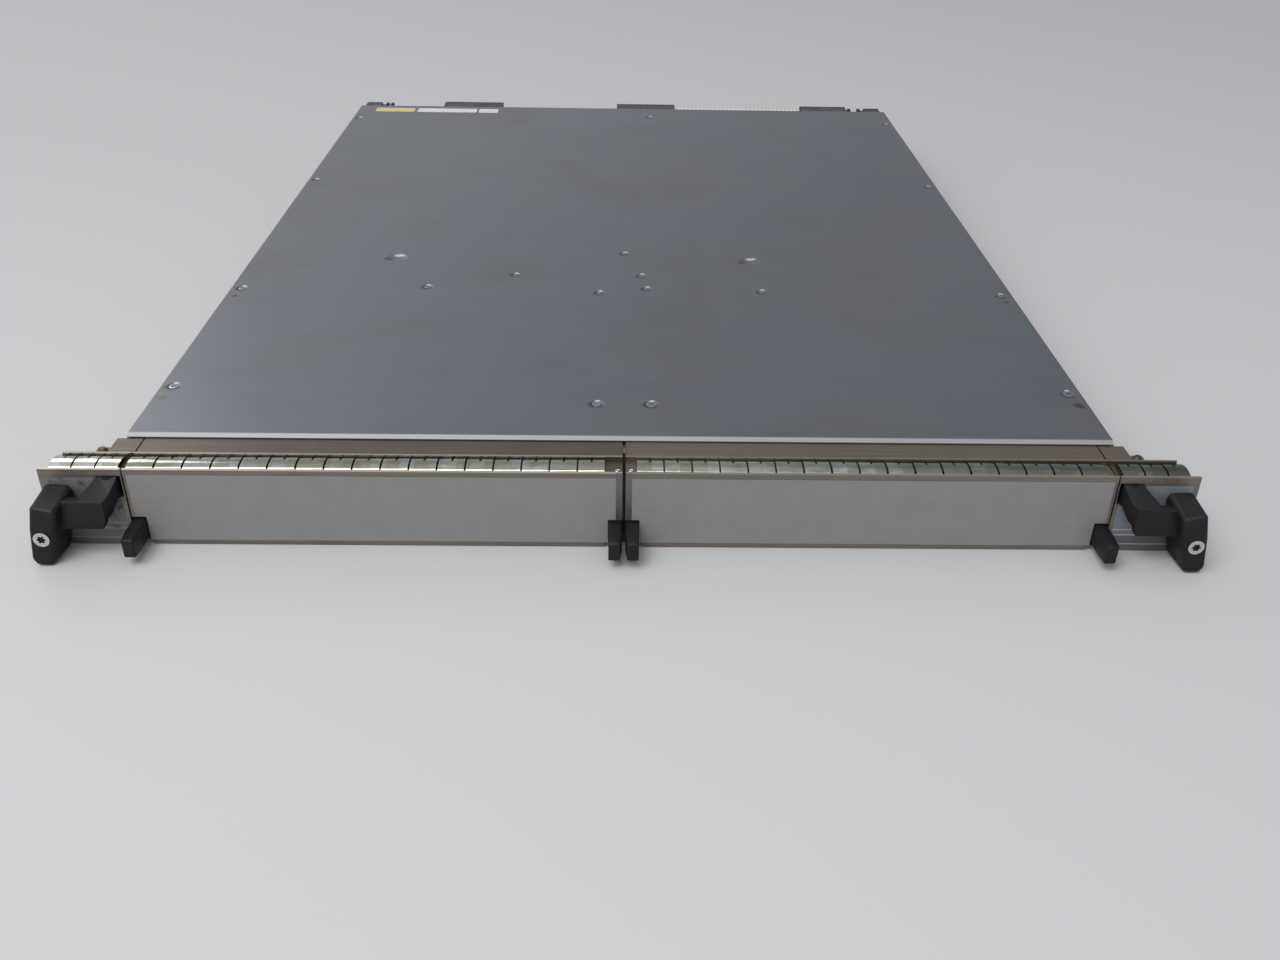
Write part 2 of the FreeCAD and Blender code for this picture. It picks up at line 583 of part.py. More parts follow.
# ---------------------------------------------------------------------------------------------
# Board, heat sinks and connectors
# ---------------------------------------------------------------------------------------------


def make_main_board():
    """The circuit board behind the cross member, on the tray's standoffs."""
    board = new_body("main_board")
    half = f"({HALF_BODY} - tray_sheet - board_margin)"
    prism(board, "Board", "XY", "board_bottom", BOARD_TOP,
          rectangle(f"-{half}", "bay_rear + member_depth + slide_gap", half, "cover_rear - board_setback"))
    return board


def make_heat_sink(name, place):
    """An extruded heat sink: fins on one base, with the outer fins flush with its sides."""
    sink = new_body(f"heat_sink_{name}", x=f"{place} * sink_spacing")
    left = "(-sink_width / 2)"
    base = f"({BOARD_TOP} + sink_base)"
    prism(sink, "Base", "XZ", "sink_y", "sink_y + sink_length",
          rectangle(left, BOARD_TOP, "sink_width / 2", base))
    fin = prism(sink, "Fin", "XZ", "sink_y", "sink_y + sink_length",
                rectangle(left, base, f"{left} + fin_sheet", "sink_top"))
    repeat(sink, "Fins", fin, "X", "(sink_width - fin_sheet) / (fin_count - 1)", "fin_count")
    return sink


def make_bay_connector(name, side):
    """A board connector that reaches through the cross member into its bay."""
    connector = new_body(f"bay_connector_{name}")
    left, right = span(side, "bay_port_near + port_gap", "bay_port_far - port_gap")
    near = "(bay_rear - bay_connector_reach)"
    far = "(bay_rear + bay_connector_tail)"
    shelf = "(bay_rear + member_depth + slide_gap)"
    low = "(bay_port_bottom + port_gap)"
    prism(connector, "Housing", "YZ", left, right, [
        (near, low), (shelf, low), (shelf, BOARD_TOP), (far, BOARD_TOP),
        (far, "bay_port_top - port_gap"), (near, "bay_port_top - port_gap"),
    ])
    middle = "((bay_port_bottom + bay_port_top) / 2)"
    carve(connector, "Socket", "XZ", near, f"{near} + bay_connector_reach / 2",
          rectangle(f"{left} + connector_wall", f"{middle} - wafer_gap",
                    f"{right} - connector_wall", f"{middle} + wafer_gap"))
    return connector


def make_rear_connector(name, start, slots):
    """A backplane connector: a housing on the board with upright wafer slots in its rear face."""
    connector = new_body(f"rear_connector_{name}", x=start)
    width = f"(2 * connector_wall + wafer_gap + wafer_pitch * ({slots} - 1))"
    prism(connector, "Housing", "YZ", "0", width, [
        ("connector_front", BOARD_TOP), ("cover_rear - board_setback + slide_gap", BOARD_TOP),
        ("cover_rear - board_setback + slide_gap", "board_bottom"), ("card_depth - connector_wall", "board_bottom"),
        ("card_depth", "board_bottom + connector_wall"), ("card_depth", "connector_top"),
        ("connector_front", "connector_top"),
    ])
    slot = carve(connector, "Slot", "XZ", "card_depth - wafer_depth", "card_depth + 1",
                 rectangle("connector_wall", "board_bottom + 2 * connector_wall",
                           "connector_wall + wafer_gap", "connector_top + 1"))
    repeat(connector, "Slots", slot, "X", "wafer_pitch", slots)
    return connector


def make_ribbed_header():
    """The pale header between two connectors: a long body with a comb of ribs at its rear."""
    header = new_body("ribbed_header", x="header_x")
    length = "(rib_pitch * (rib_count - 1) + rib_width)"
    prism(header, "Bar", "YZ", "0", length, [
        ("header_front", BOARD_TOP), ("cover_rear - board_setback + slide_gap", BOARD_TOP),
        ("cover_rear - board_setback + slide_gap", "board_bottom"),
        ("header_front + header_body", "board_bottom"),
        ("header_front + header_body", "header_top"), ("header_front", "header_top"),
    ])
    rib = prism(header, "Rib", "YZ", "0", "rib_width", [
        ("header_front + header_body", "board_bottom"), ("header_rear", "board_bottom + connector_wall"),
        ("header_rear", "header_top - connector_wall"), ("header_front + header_body", "header_top"),
    ])
    repeat(header, "Ribs", rib, "X", "rib_pitch", "rib_count")
    return header


def make_guide_block(name, side):
    """A guide block at a rear corner, bored for the chassis's guide pin, with a key lug beside it."""
    block = new_body(f"guide_block_{name}")
    outer = "guide_outer"
    inner = "(guide_outer - guide_width)"
    low, high = span(side, inner, outer)
    prism(block, "Block", "XZ", "guide_front", "guide_rear",
          rectangle(low, BOARD_TOP, high, f"{COVER_UNDER} - tray_sheet - slide_gap"))
    low, high = span(side, f"{inner} - guide_ear", inner)
    prism(block, "Lug", "XZ", "guide_front", "guide_rear", rectangle(low, BOARD_TOP, high, "guide_ear_top"))
    axis = f"{side} * (guide_outer - guide_width / 2)"
    drill(block, "Bore", "XZ", "guide_rear - guide_bore_depth", "guide_rear + 1",
          axis, "guide_bore_z", "guide_bore")
    return block


# ---------------------------------------------------------------------------------------------
# Front plates, blanks and gaskets
# ---------------------------------------------------------------------------------------------


def front_section(foot, flange_reach, lower):
    """The upright section that blanks and end plates share, with their own lower part."""
    return [
        ("0", foot), ("0", "lip_height"), ("lip_sheet", "lip_height"), ("lip_sheet", CHANNEL_TOP),
        ("back_lip_near", CHANNEL_TOP), ("back_lip_near", BACK_LIP_TOP), (BACK_LIP_FAR, BACK_LIP_TOP),
        (BACK_LIP_FAR, FLANGE_TOP), (flange_reach, FLANGE_TOP),
        (flange_reach, f"{FLANGE_TOP} - channel_sheet"), (BACK_LIP_FAR, f"{FLANGE_TOP} - channel_sheet"),
        (BACK_LIP_FAR, CHANNEL_UNDER), ("plate_sheet", CHANNEL_UNDER),
    ] + lower + [("plate_sheet", foot)]


def make_end_plate(name, side):
    """An end plate with its gasket channel, lever slot, hinge flange and side flange."""
    plate = new_body(f"end_plate_{name}")
    left, right = span(side, PLATE_INNER, HALF_CARD)
    hinge_top = "slot_sill"
    hinge_low = "(slot_sill - bracket_sheet)"
    prism(plate, "Section", "YZ", left, right, front_section("0", "cover_front - slide_gap", [
        ("plate_sheet", hinge_top), ("bracket_reach", hinge_top),
        ("bracket_reach", hinge_low), ("plate_sheet", hinge_low),
    ]))
    # The channel stops short of the plate's end, and the lip behind it stops shorter still.
    # Behind that lip only a shoulder is left, with an ear for the rivet.
    beyond = f"({HALF_CARD} + 1)"
    shoulder = f"({HALF_BODY} + shoulder_out)"
    rivet_far = "(rivet_x + 1.4 * rivet_head)"
    carve(plate, "Plan", "XY", f"{CHANNEL_UNDER} - 1", "lip_height + 1", mirrored(side, [
        (beyond, "lip_sheet"), (beyond, "card_depth"), (shoulder, "card_depth"),
        (shoulder, "rivet_y + 1.4 * rivet_head"),
        (rivet_far, "rivet_y + 1.4 * rivet_head"), (rivet_far, BACK_LIP_FAR),
        ("back_lip_end", BACK_LIP_FAR), ("back_lip_end", "back_lip_near"), ("channel_end", "gasket_far - 2"),
        ("channel_end", "lip_sheet"),
    ]))
    low, high = span(side, f"{HALF_BODY} + slot_out + bracket_sheet", beyond)
    carve(plate, "HingeEnd", "XZ", "plate_sheet", "bracket_reach + 1",
          rectangle(low, f"{hinge_low} - 1", high, f"{hinge_top} + 1"))
    low, high = span(side, f"{HALF_BODY} - slot_in", f"{HALF_BODY} + slot_out")
    carve(plate, "Slot", "XZ", "-1", "plate_sheet + 0.1",
          rectangle(low, "slot_sill", high, CHANNEL_UNDER))
    drill(plate, "PinHole", "XY", "0", hinge_top, f"{side} * pivot_x", "pivot_y", "pivot_radius")
    low, high = span(side, HALF_BODY, f"{HALF_BODY} + tray_sheet")
    prism(plate, "SideFlange", "XZ", "plate_sheet", "return_reach",
          rectangle(low, "tray_sheet", high, "return_top"))
    return plate


def make_end_rivet(name, side):
    """The domed rivet behind the back lip, through the shoulder of an end plate."""
    rivet = new_body(f"end_rivet_{name}", x=f"{side} * rivet_x", y="rivet_y", z=FLANGE_TOP)
    revolve(rivet, "Dome", "XZ", "Z", [
        ("0", "0"), ("rivet_head", "0"), ("0.6 * rivet_head", "rivet_rise"), ("0", "rivet_rise"),
    ])
    return rivet


def make_blank_panel(name, side):
    """A module blank: the plate with its channel, and a lower flange, notched for the tabs."""
    blank = new_body(f"blank_panel_{name}")
    runner_low = "(tray_sheet + slide_gap)"
    runner_top = "(tray_sheet + slide_gap + tray_sheet)"
    left, right = span(side, "seam", BLANK_OUTER)
    prism(blank, "Section", "YZ", left, right, front_section("blank_foot", "blank_flange_reach", [
        ("plate_sheet", runner_top), ("blank_runner_reach", runner_top),
        ("blank_runner_reach", runner_low), ("plate_sheet", runner_low),
    ]))
    for place, near, far in notch_places("notch_width"):
        low, high = span(side, near, far)
        carve(blank, place + "Notch", "XZ", "-1", "blank_runner_reach + 1",
              rectangle(low, "0", high, "notch_height"))
    return blank


def notch_places(width):
    """The two notches of a blank, from the middle outward: past the seam, and past its outer edge."""
    return (("Inner", "seam - 0.1", f"seam + {width}"),
            ("Outer", f"{BLANK_OUTER} - {width}", f"{BLANK_OUTER} + 0.1"))


def make_blank_overlay(name, side):
    """The finish sheet on a blank, with a bare margin and a closer notch round each tab."""
    overlay = new_body(f"blank_overlay_{name}")
    left, right = span(side, "seam + overlay_inset", f"{BLANK_OUTER} - 0.5 * overlay_inset")
    prism(overlay, "Sheet", "XZ", "-overlay_sheet", "0",
          rectangle(left, "overlay_margin", right, "lip_height - overlay_margin"))
    for place, near, far in notch_places("film_notch_width"):
        low, high = span(side, near, far)
        carve(overlay, place + "Notch", "XZ", "-1", "1",
              rectangle(low, "0", high, "notch_height + 0.3"))
    return overlay


def make_gasket(name, start, length, slits):
    """A strip of spring fingers, arched over the channel and joined along their near edge."""
    gasket = new_body(f"gasket_{name}", x=start)
    floor = CHANNEL_TOP
    crest = f"({floor} + gasket_rise)"
    shoulder = f"({floor} + gasket_shoulder)"
    tail = f"({floor} + gasket_tail)"
    foot_top = f"({floor} + gasket_sheet)"
    near_crest = "(gasket_near + 0.3 * (gasket_far - gasket_near))"
    far_crest = "(gasket_near + 0.6 * (gasket_far - gasket_near))"
    prism(gasket, "Section", "YZ", "0", length, [
        ("gasket_near", floor), ("gasket_foot", floor), ("gasket_foot", foot_top),
        ("gasket_near + gasket_sheet", foot_top), ("gasket_near + gasket_sheet", f"{shoulder} - gasket_sheet"),
        (near_crest, f"{crest} - gasket_sheet"), (far_crest, f"{crest} - gasket_sheet"),
        ("gasket_far", f"{tail} - gasket_sheet"), ("gasket_far", tail), (far_crest, crest),
        (near_crest, crest), ("gasket_near", shoulder),
    ])
    slit = carve(gasket, "Slit", "XY", f"{foot_top} + 0.05", "lip_height + 2",
                 rectangle("finger_pitch - finger_slit / 2", "gasket_near + 2 * gasket_sheet",
                           "finger_pitch + finger_slit / 2", "gasket_far + 1"))
    repeat(gasket, "Slits", slit, "X", "finger_pitch", slits)
    return gasket


# ---------------------------------------------------------------------------------------------
# Ejector levers and bay tabs
# ---------------------------------------------------------------------------------------------


def make_pivot_pin(name, side):
    """The pin of a lever, from the lower hinge flange up to the channel."""
    pin = new_body(f"ejector_pin_{name}")
    rod(pin, "Turned", "XY", "slot_sill - bracket_sheet", CHANNEL_UNDER,
        f"{side} * pivot_x", "pivot_y", "pivot_radius")
    return pin


def make_ejector_arm(name, side):
    """A lever: knuckle on the pivot, jaw behind the plate, sloping neck, beam and tang in front."""
    arm = new_body(f"ejector_arm_{name}")
    low = "(slot_sill + lever_gap)"
    high = f"({CHANNEL_UNDER} - lever_gap)"
    rod(arm, "Knuckle", "XY", low, high, f"{side} * pivot_x", "pivot_y", "knuckle_radius")
    left, right = span(side, "arm_inner", "arm_outer + arm_bow")
    prism(arm, "Neck", "YZ", left, right, [
        ("pivot_y", low), ("pivot_y", high), ("-lever_gap", high), ("-beam_far", "beam_top + 1"),
        ("-beam_near", "beam_top"), ("-beam_near", "beam_shoulder - 0.8"), ("-beam_far", "beam_shoulder"),
        ("-neck_drop", low),
    ])
    carve(arm, "OuterSide", "XY", "0", "lip_height", mirrored(side, [
        ("arm_outer", "pivot_y + 1"), ("arm_outer", "-lever_gap"), ("arm_outer + arm_bow", "-beam_far"),
        ("arm_outer + arm_bow + 1", "-beam_far"), ("arm_outer + arm_bow + 1", "pivot_y + 1"),
    ]))
    carve(arm, "InnerSide", "XY", "0", "lip_height", mirrored(side, [
        ("arm_inner - 1", "-neck_drop / 2"), ("arm_inner", "-neck_drop / 2"),
        ("arm_inner + arm_rake", "-beam_near"), ("arm_inner + arm_rake", "-beam_near - 1"),
        ("arm_inner - 1", "-beam_near - 1"),
    ]))
    inner = "(arm_inner + arm_rake)"
    prism(arm, "Beam", "XZ", "-beam_near", "-beam_far", mirrored(side, [
        (inner, "beam_shoulder"), (f"{inner} + beam_chamfer", "beam_bottom"),
        ("grip_inner + 4.5", "beam_bottom"), ("grip_inner + 6", "tang_bottom"), ("tang_end", "tang_bottom"),
        ("tang_end", "beam_top - 3"), ("grip_inner + 2", "beam_top"), (inner, "beam_top"),
    ]))
    # The jaw's sides run tangent to the knuckle and to the round end.
    prism(arm, "Jaw", "XY", "jaw_bottom", "jaw_bottom + jaw_thickness", mirrored(side, [
        ("pivot_x - 0.9 * knuckle_radius", "pivot_y + 0.35 * knuckle_radius"),
        ("pivot_x + 0.93 * knuckle_radius", "pivot_y + 0.35 * knuckle_radius"),
        ("jaw_tip_x + 0.91 * jaw_radius", "jaw_tip_y - 0.41 * jaw_radius", "jaw_radius", 1),
        ("jaw_tip_x - 0.91 * jaw_radius", "jaw_tip_y + 0.41 * jaw_radius"),
    ]))
    drill(arm, "PivotBore", "XY", "0", "lip_height", f"{side} * pivot_x", "pivot_y",
          "pivot_radius + pivot_clearance")
    drill(arm, "ScrewBore", "XZ", "-grip_reach", "-beam_far + 1", f"{side} * screw_x", "screw_z",
          "screw_shank_radius")
    return arm


def make_ejector_grip(name, side):
    """The moulded grip on the end of a lever: it leans outward, swells and tapers to its sole."""
    grip = new_body(f"ejector_grip_{name}")
    # Each row: how far outboard of the grip's inner side, and how far below its top.
    near = outline(grip, "NearOutline", "XZ", "-grip_reach", mirrored(side, [
        ("grip_inner + 2.2", "grip_brow - 0.6"), ("grip_inner + 1.7", "grip_brow - 2"),
        ("grip_inner + 3.4", "grip_brow - 11.4"), ("grip_inner + 7.2", "grip_sole"),
        ("grip_inner + 13.2", "grip_sole"), ("grip_inner + 14.8", "grip_sole + 2.7"),
        ("grip_inner + 12.9", "grip_brow - 9.9"), ("grip_inner + 10.5", "grip_brow"),
    ]))
    far = outline(grip, "FarOutline", "XZ", "-grip_back", mirrored(side, [
        ("grip_inner + 1.2", "grip_top - 0.2"), ("grip_inner - 0.3", "grip_top - 3"),
        ("grip_inner + 1.9", "grip_top - 13.6"), ("grip_inner + 5.8", "grip_sole + 0.5"),
        ("grip_inner + 12.2", "grip_sole + 0.5"), ("grip_inner + 13.4", "grip_sole + 3.1"),
        ("grip_inner + 12", "grip_top - 11.8"), ("grip_inner + 9.9", "grip_top"),
    ]))
    loft = grip.newObject("PartDesign::AdditiveLoft", "Form")
    loft.Profile = far
    loft.Sections = [near]
    loft.Ruled = True
    doc.recompute()
    # The socket for the lever's tang, open toward the arm.
    carve(grip, "TangSocket", "XZ", "-beam_near - tang_gap", "-beam_far + tang_gap", mirrored(side, [
        ("grip_inner - 3", "tang_bottom - tang_gap"), ("tang_end + tang_gap", "tang_bottom - tang_gap"),
        ("tang_end + tang_gap", "beam_top + tang_gap"), ("grip_inner - 3", "beam_top + tang_gap"),
    ]))
    drill(grip, "HeadRecess", "XZ", "-grip_reach - 1", "-grip_reach + screw_head_depth - screw_head_proud",
          f"{side} * screw_x", "screw_z", "screw_head_radius + tang_gap")
    drill(grip, "ShankBore", "XZ", "-grip_reach - 1", "-beam_near + 1",
          f"{side} * screw_x", "screw_z", "screw_shank_radius + tang_gap")
    return grip


def make_ejector_screw(name, side):
    """The screw that holds the grip on the tang, with a hexagon socket in its head."""
    screw = new_body(f"ejector_screw_{name}", x=f"{side} * screw_x", z="screw_z")
    face = "(-grip_reach - screw_head_proud)"
    under = f"({face} + screw_head_depth)"
    revolve(screw, "Turned", "XY", "Y", [
        ("0", face), ("screw_head_radius - 0.4", face), ("screw_head_radius", f"{face} + 0.4"),
        ("screw_head_radius", under), ("screw_shank_radius", under),
        ("screw_shank_radius", f"{under} + screw_length"), ("0", f"{under} + screw_length"),
    ])
    corners = []
    for across, up in ((1, 0), (0.5, 0.866), (-0.5, 0.866), (-1, 0), (-0.5, -0.866), (0.5, -0.866)):
        corners.append((f"{across} * socket_radius", f"{up} * socket_radius"))
    carve(screw, "Socket", "XZ", face, f"{face} + socket_depth", corners)
    return screw


def tab_places():
    """The two tabs of a bay: name, the tab's near and far side, and its bar's near side."""
    inner_rail = "(body_width / 2 - tray_sheet - rail_depth)"
    return (
        ("inner", "seam + 0.1", "seam + 0.1 + tab_width", "rail_sheet / 2 + rail_gap"),
        ("outer", f"{BLANK_OUTER} - tab_width - 0.1", f"{BLANK_OUTER} - 0.1",
         f"{inner_rail} - rail_gap - bar_sheet"),
    )


def make_tab_tip(name, side, place, near, far):
    """The moulded end of a bay ejector tab: a block that narrows toward the user."""
    tip = new_body(f"tab_tip_{name}_{place}")
    near_taper = 1 if place == "inner" else 0
    prism(tip, "Block", "XY", "tab_bottom", "tab_top", mirrored(side, [
        (near, "tab_back"), (near, "-tab_waist"), (f"{near} + {near_taper} * tab_taper", "-tab_reach"),
        (f"{far} - {1 - near_taper} * tab_taper", "-tab_reach"), (far, "-tab_waist"), (far, "tab_back"),
    ]))
    carve(tip, "Chin", "YZ", *span(side, f"{near} - 1", f"{far} + 1"), [
        ("-tab_reach - 1", "tab_bottom - 1"), ("-tab_waist", "tab_bottom - 1"), ("-tab_waist", "tab_bottom"),
        ("-tab_reach - 1", "tab_bottom + 1.5 * tab_taper"),
    ])
    return tip


def make_tab_bar(name, side, place, start):
    """The bar of a bay ejector tab, with the hook that pushes the module out at its rear end."""
    bar = new_body(f"tab_bar_{name}_{place}")
    finish = f"({start} + bar_sheet)"
    hook_side = 1 if place == "inner" else -1
    base = finish if hook_side > 0 else start
    tip = f"{base} + {hook_side} * bar_hook"
    prism(bar, "Bar", "XY", "bar_bottom", "bar_top",
          mirrored(side, rectangle(start, "tab_back", finish, "bar_reach")))
    prism(bar, "Hook", "XY", "bar_bottom", "bar_top",
          mirrored(side, rectangle(base, "bar_reach - bar_sheet", tip, "bar_reach")))
    return bar


# ---------------------------------------------------------------------------------------------
# The card
# ---------------------------------------------------------------------------------------------

make_base_tray()
make_top_cover()
make_cross_member()
make_bay_divider()
make_main_board()
for sink_name, sink_place in (("left", -1), ("centre", 0), ("right", 1)):
    make_heat_sink(sink_name, sink_place)
for connector_name, slot_count in (("left", "wafer_count"), ("centre", "wafer_count"),
                                   ("right", "short_wafer_count")):
    make_rear_connector(connector_name, f"{connector_name}_connector_x", slot_count)
make_ribbed_header()
for side_name, side_sign in SIDES:
    make_bay_rail(side_name, side_sign)
    make_bay_connector(side_name, side_sign)
    make_guide_block(side_name, side_sign)
    make_end_plate(side_name, side_sign)
    make_end_rivet(side_name, side_sign)
    make_blank_panel(side_name, side_sign)
    make_blank_overlay(side_name, side_sign)
    make_gasket(f"blank_{side_name}", f"{side_name}_gasket_start", "gasket_length", "finger_count - 1")
    end_near, end_far = span(side_sign, f"{PLATE_INNER} + end_gasket_inset",
                             f"{PLATE_INNER} + end_gasket_inset + end_gasket_length")
    make_gasket(f"end_{side_name}", end_near, "end_gasket_length", "end_finger_count")
    make_pivot_pin(side_name, side_sign)
    make_ejector_arm(side_name, side_sign)
    make_ejector_grip(side_name, side_sign)
    make_ejector_screw(side_name, side_sign)
    for tab_place, tab_near, tab_far, bar_start in tab_places():
        make_tab_tip(side_name, side_sign, tab_place, tab_near, tab_far)
        make_tab_bar(side_name, side_sign, tab_place, bar_start)

doc.recompute()

# ---------------------------------------------------------------------------------------------
# Checks and files
# ---------------------------------------------------------------------------------------------

for thing in doc.Objects:
    if "Invalid" in thing.State or "Error" in thing.State:
        raise RuntimeError(f"{thing.Label} did not rebuild: {thing.State}")

for subpart in SUBPARTS:
    if subpart.Shape.isNull() or not subpart.Shape.isValid():
        raise RuntimeError(f"{subpart.Label} has no valid shape")
    if len(subpart.Shape.Solids) != 1:
        raise RuntimeError(f"{subpart.Label} is {len(subpart.Shape.Solids)} solids")

os.makedirs("parts", exist_ok=True)
for subpart in SUBPARTS:
    subpart.Shape.exportStep(f"parts/{subpart.Label}.step")
print(len(SUBPARTS), "sub-parts written")
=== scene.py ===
# %% [markdown]
# # A switch line card, dressed
# The solids come from the construction model: a shallow zinc-coated drawer with a flat cover, two
# blanked module bays at the front, and an ejector lever at each end. This lesson gives them their
# finishes and adds the small things that a solid model leaves out: spring fingers, screws, stickers,
# moulded grips. It starts by loading the frame, which fixes where everything is.

# %% Load the frame
import json
import math

import bmesh
import bpy

from mathutils import Matrix, Vector


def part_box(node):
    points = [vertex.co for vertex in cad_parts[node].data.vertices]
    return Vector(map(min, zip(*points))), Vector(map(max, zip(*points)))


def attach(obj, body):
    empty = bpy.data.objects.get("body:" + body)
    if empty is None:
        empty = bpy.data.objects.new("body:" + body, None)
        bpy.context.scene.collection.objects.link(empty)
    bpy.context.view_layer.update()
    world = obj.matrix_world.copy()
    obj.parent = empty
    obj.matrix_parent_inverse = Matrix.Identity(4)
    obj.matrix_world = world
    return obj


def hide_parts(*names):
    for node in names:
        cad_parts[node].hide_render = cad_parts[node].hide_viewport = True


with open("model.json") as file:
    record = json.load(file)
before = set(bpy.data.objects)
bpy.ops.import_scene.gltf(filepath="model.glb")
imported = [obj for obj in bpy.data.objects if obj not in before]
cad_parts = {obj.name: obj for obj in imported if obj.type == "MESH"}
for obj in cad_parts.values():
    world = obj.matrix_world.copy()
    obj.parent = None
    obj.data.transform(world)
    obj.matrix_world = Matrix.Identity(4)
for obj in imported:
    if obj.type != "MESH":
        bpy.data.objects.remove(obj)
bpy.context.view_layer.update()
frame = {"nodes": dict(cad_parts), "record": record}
MM = 0.001

# %% [markdown]
# ## Where things are
# The construction model measures along the card from the front face of the plates, so one helper turns
# such a distance into the frame's own Y. Heights are above the table.

# %% Places read from the frame
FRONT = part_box("end_plate_left")[0].y
COVER_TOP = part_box("top_cover")[1].z
SIDES = {"left": -1, "right": 1}


def back(distance):
    """Y of a place that is this many millimetres behind the front face of the plates."""
    return FRONT + distance * MM


def at(x, y, z):
    """A place from millimetres: X from the middle, Y behind the front face, Z above the table."""
    return Vector((x * MM, back(y), z * MM))


print("front face", round(FRONT, 4), "cover top", round(COVER_TOP, 4))

# %% [markdown]
# ## The camera
# A card on a table is looked at from just in front of it and above. A lens of 34 mm keeps the strong
# convergence of the side walls. The angles are set about the camera's own axes: first the roll about
# its line of sight, then the tilt, then the turn.

# %% Camera
LENS, SENSOR_WIDTH = 34.25, 36.0
TURN, LOOK_DOWN, ROLL = -1.215, 31.268, 1.069
CAMERA_X, CAMERA_AHEAD, CAMERA_Z = -0.002307, 0.387317, 0.265531
camera_data = bpy.data.cameras.new("camera")
camera_data.lens = LENS
camera_data.sensor_width = SENSOR_WIDTH
camera = bpy.data.objects.new("camera", camera_data)
bpy.context.scene.collection.objects.link(camera)
turn = Matrix.Rotation(math.radians(TURN), 4, "Z")
tilt = Matrix.Rotation(math.radians(90 - LOOK_DOWN), 4, "X")
roll = Matrix.Rotation(math.radians(ROLL), 4, "Z")
stand = Matrix.Translation(Vector((CAMERA_X, FRONT - CAMERA_AHEAD, CAMERA_Z)))
camera.matrix_world = stand @ turn @ tilt @ roll
bpy.context.scene.camera = camera
print("camera at", [round(value, 3) for value in camera.location])

# %% [markdown]
# ## How a finish is wired
# Every finish is a Principled shader fed by a few procedural textures. The small helpers below add a
# node, join two sockets and read a place on the object, so that each finish further down reads as a
# recipe. Patterns are laid out in the object's own coordinates, in metres.

# %% Helpers for node materials
def feed(tree, source, target):
    """Gives an input another node's output, or a number, a vector or a colour of three parts."""
    if isinstance(source, bpy.types.NodeSocket):
        tree.links.new(source, target)
    elif target.type == "RGBA":
        target.default_value = (*source, 1)
    else:
        target.default_value = source


def add(tree, kind, **settings):
    """A node. Settings are its attributes, or its inputs where the name starts with a capital."""
    node = tree.nodes.new(kind)
    for name, value in settings.items():
        if name[0].isupper():
            feed(tree, value, node.inputs[name.replace("_", " ")])
        else:
            setattr(node, name, value)
    return node


def new_material(name, **plain):
    """A material with a shader wired to its output. Plain values go on the shader's own sockets."""
    made = bpy.data.materials.new(name)
    made.use_nodes = True
    tree = made.node_tree
    tree.nodes.clear()
    shader = add(tree, "ShaderNodeBsdfPrincipled", **plain)
    add(tree, "ShaderNodeOutputMaterial", Surface=shader.outputs["BSDF"])
    return made, tree, shader


def on_object(tree):
    """The place on the object, in its own coordinates."""
    return add(tree, "ShaderNodeTexCoord").outputs["Object"]


def axes(tree, vector=None):
    """The X, Y and Z of a vector, or of the place on the object if none is given."""
    parts = add(tree, "ShaderNodeSeparateXYZ")
    feed(tree, vector or on_object(tree), parts.inputs[0])
    return parts.outputs


def compute(tree, operation, *values, vectors=False):
    """A calculation on numbers, or on vectors. Gives back the socket of its result."""
    node = add(tree, "ShaderNodeVectorMath" if vectors else "ShaderNodeMath", operation=operation)
    for socket, value in zip(node.inputs, values):
        feed(tree, value, socket)
    return node.outputs["Vector" if vectors and operation != "LENGTH" else "Value"]


def blend(tree, factor, low, high, mode="MIX"):
    """A colour mix. Each of low and high is a colour or a socket. Gives back the result socket."""
    mix = add(tree, "ShaderNodeMix", data_type="RGBA", blend_type=mode)
    for index, value in ((0, factor), (6, low), (7, high)):
        feed(tree, value, mix.inputs[index])
    return mix.outputs[2]


def blend_numbers(tree, factor, low, high):
    """A mix of two numbers."""
    mix = add(tree, "ShaderNodeMix", data_type="FLOAT")
    for index, value in ((0, factor), (2, low), (3, high)):
        feed(tree, value, mix.inputs[index])
    return mix.outputs[0]


def remap(tree, value, low, high, to_low, to_high, smooth=False):
    """Maps a range of a value to another range, held at the ends."""
    node = add(tree, "ShaderNodeMapRange", interpolation_type="SMOOTHSTEP" if smooth else "LINEAR")
    for socket, number in zip(node.inputs, (value, low, high, to_low, to_high)):
        feed(tree, number, socket)
    return node.outputs[0]


def noise(tree, **inputs):
    """The pattern of a noise texture."""
    return add(tree, "ShaderNodeTexNoise", **inputs).outputs["Fac"]


def bumped(tree, distance, strength, height):
    """A normal that follows a height pattern."""
    return add(tree, "ShaderNodeBump", Distance=distance, Strength=strength, Height=height).outputs[0]


def ramp(tree, factor, start, end, stops):
    """A colour ramp between two colours, with stops on the way."""
    node = add(tree, "ShaderNodeValToRGB", Fac=factor)
    node.color_ramp.elements[0].color = (*start, 1)
    node.color_ramp.elements[1].color = (*end, 1)
    for share, colour in stops:
        stop = node.color_ramp.elements.new(share)
        stop.color = (*colour, 1)
    return node.outputs["Color"]


print("helpers ready")

# %% [markdown]
# ## Effects that several finishes share
# Sheet metal carries a fine grain along the rolling direction, plastic has a spark-eroded texture,
# and both collect soft stains. Each effect is a node group with its own inputs, built once. A group
# puts out colours, masks and normals that change over the surface, and the shader stays outside.

# %% Helper that opens a group
def new_group(name, inputs, outputs):
    """An empty group with named sockets. Gives back its tree, and the sockets at its two ends."""
    group = bpy.data.node_groups.new(name, "ShaderNodeTree")
    for socket, kind in inputs:
        group.interface.new_socket(name=socket, in_out="INPUT", socket_type="NodeSocket" + kind)
    for socket, kind in outputs:
        group.interface.new_socket(name=socket, in_out="OUTPUT", socket_type="NodeSocket" + kind)
    return group, add(group, "NodeGroupInput").outputs, add(group, "NodeGroupOutput").inputs


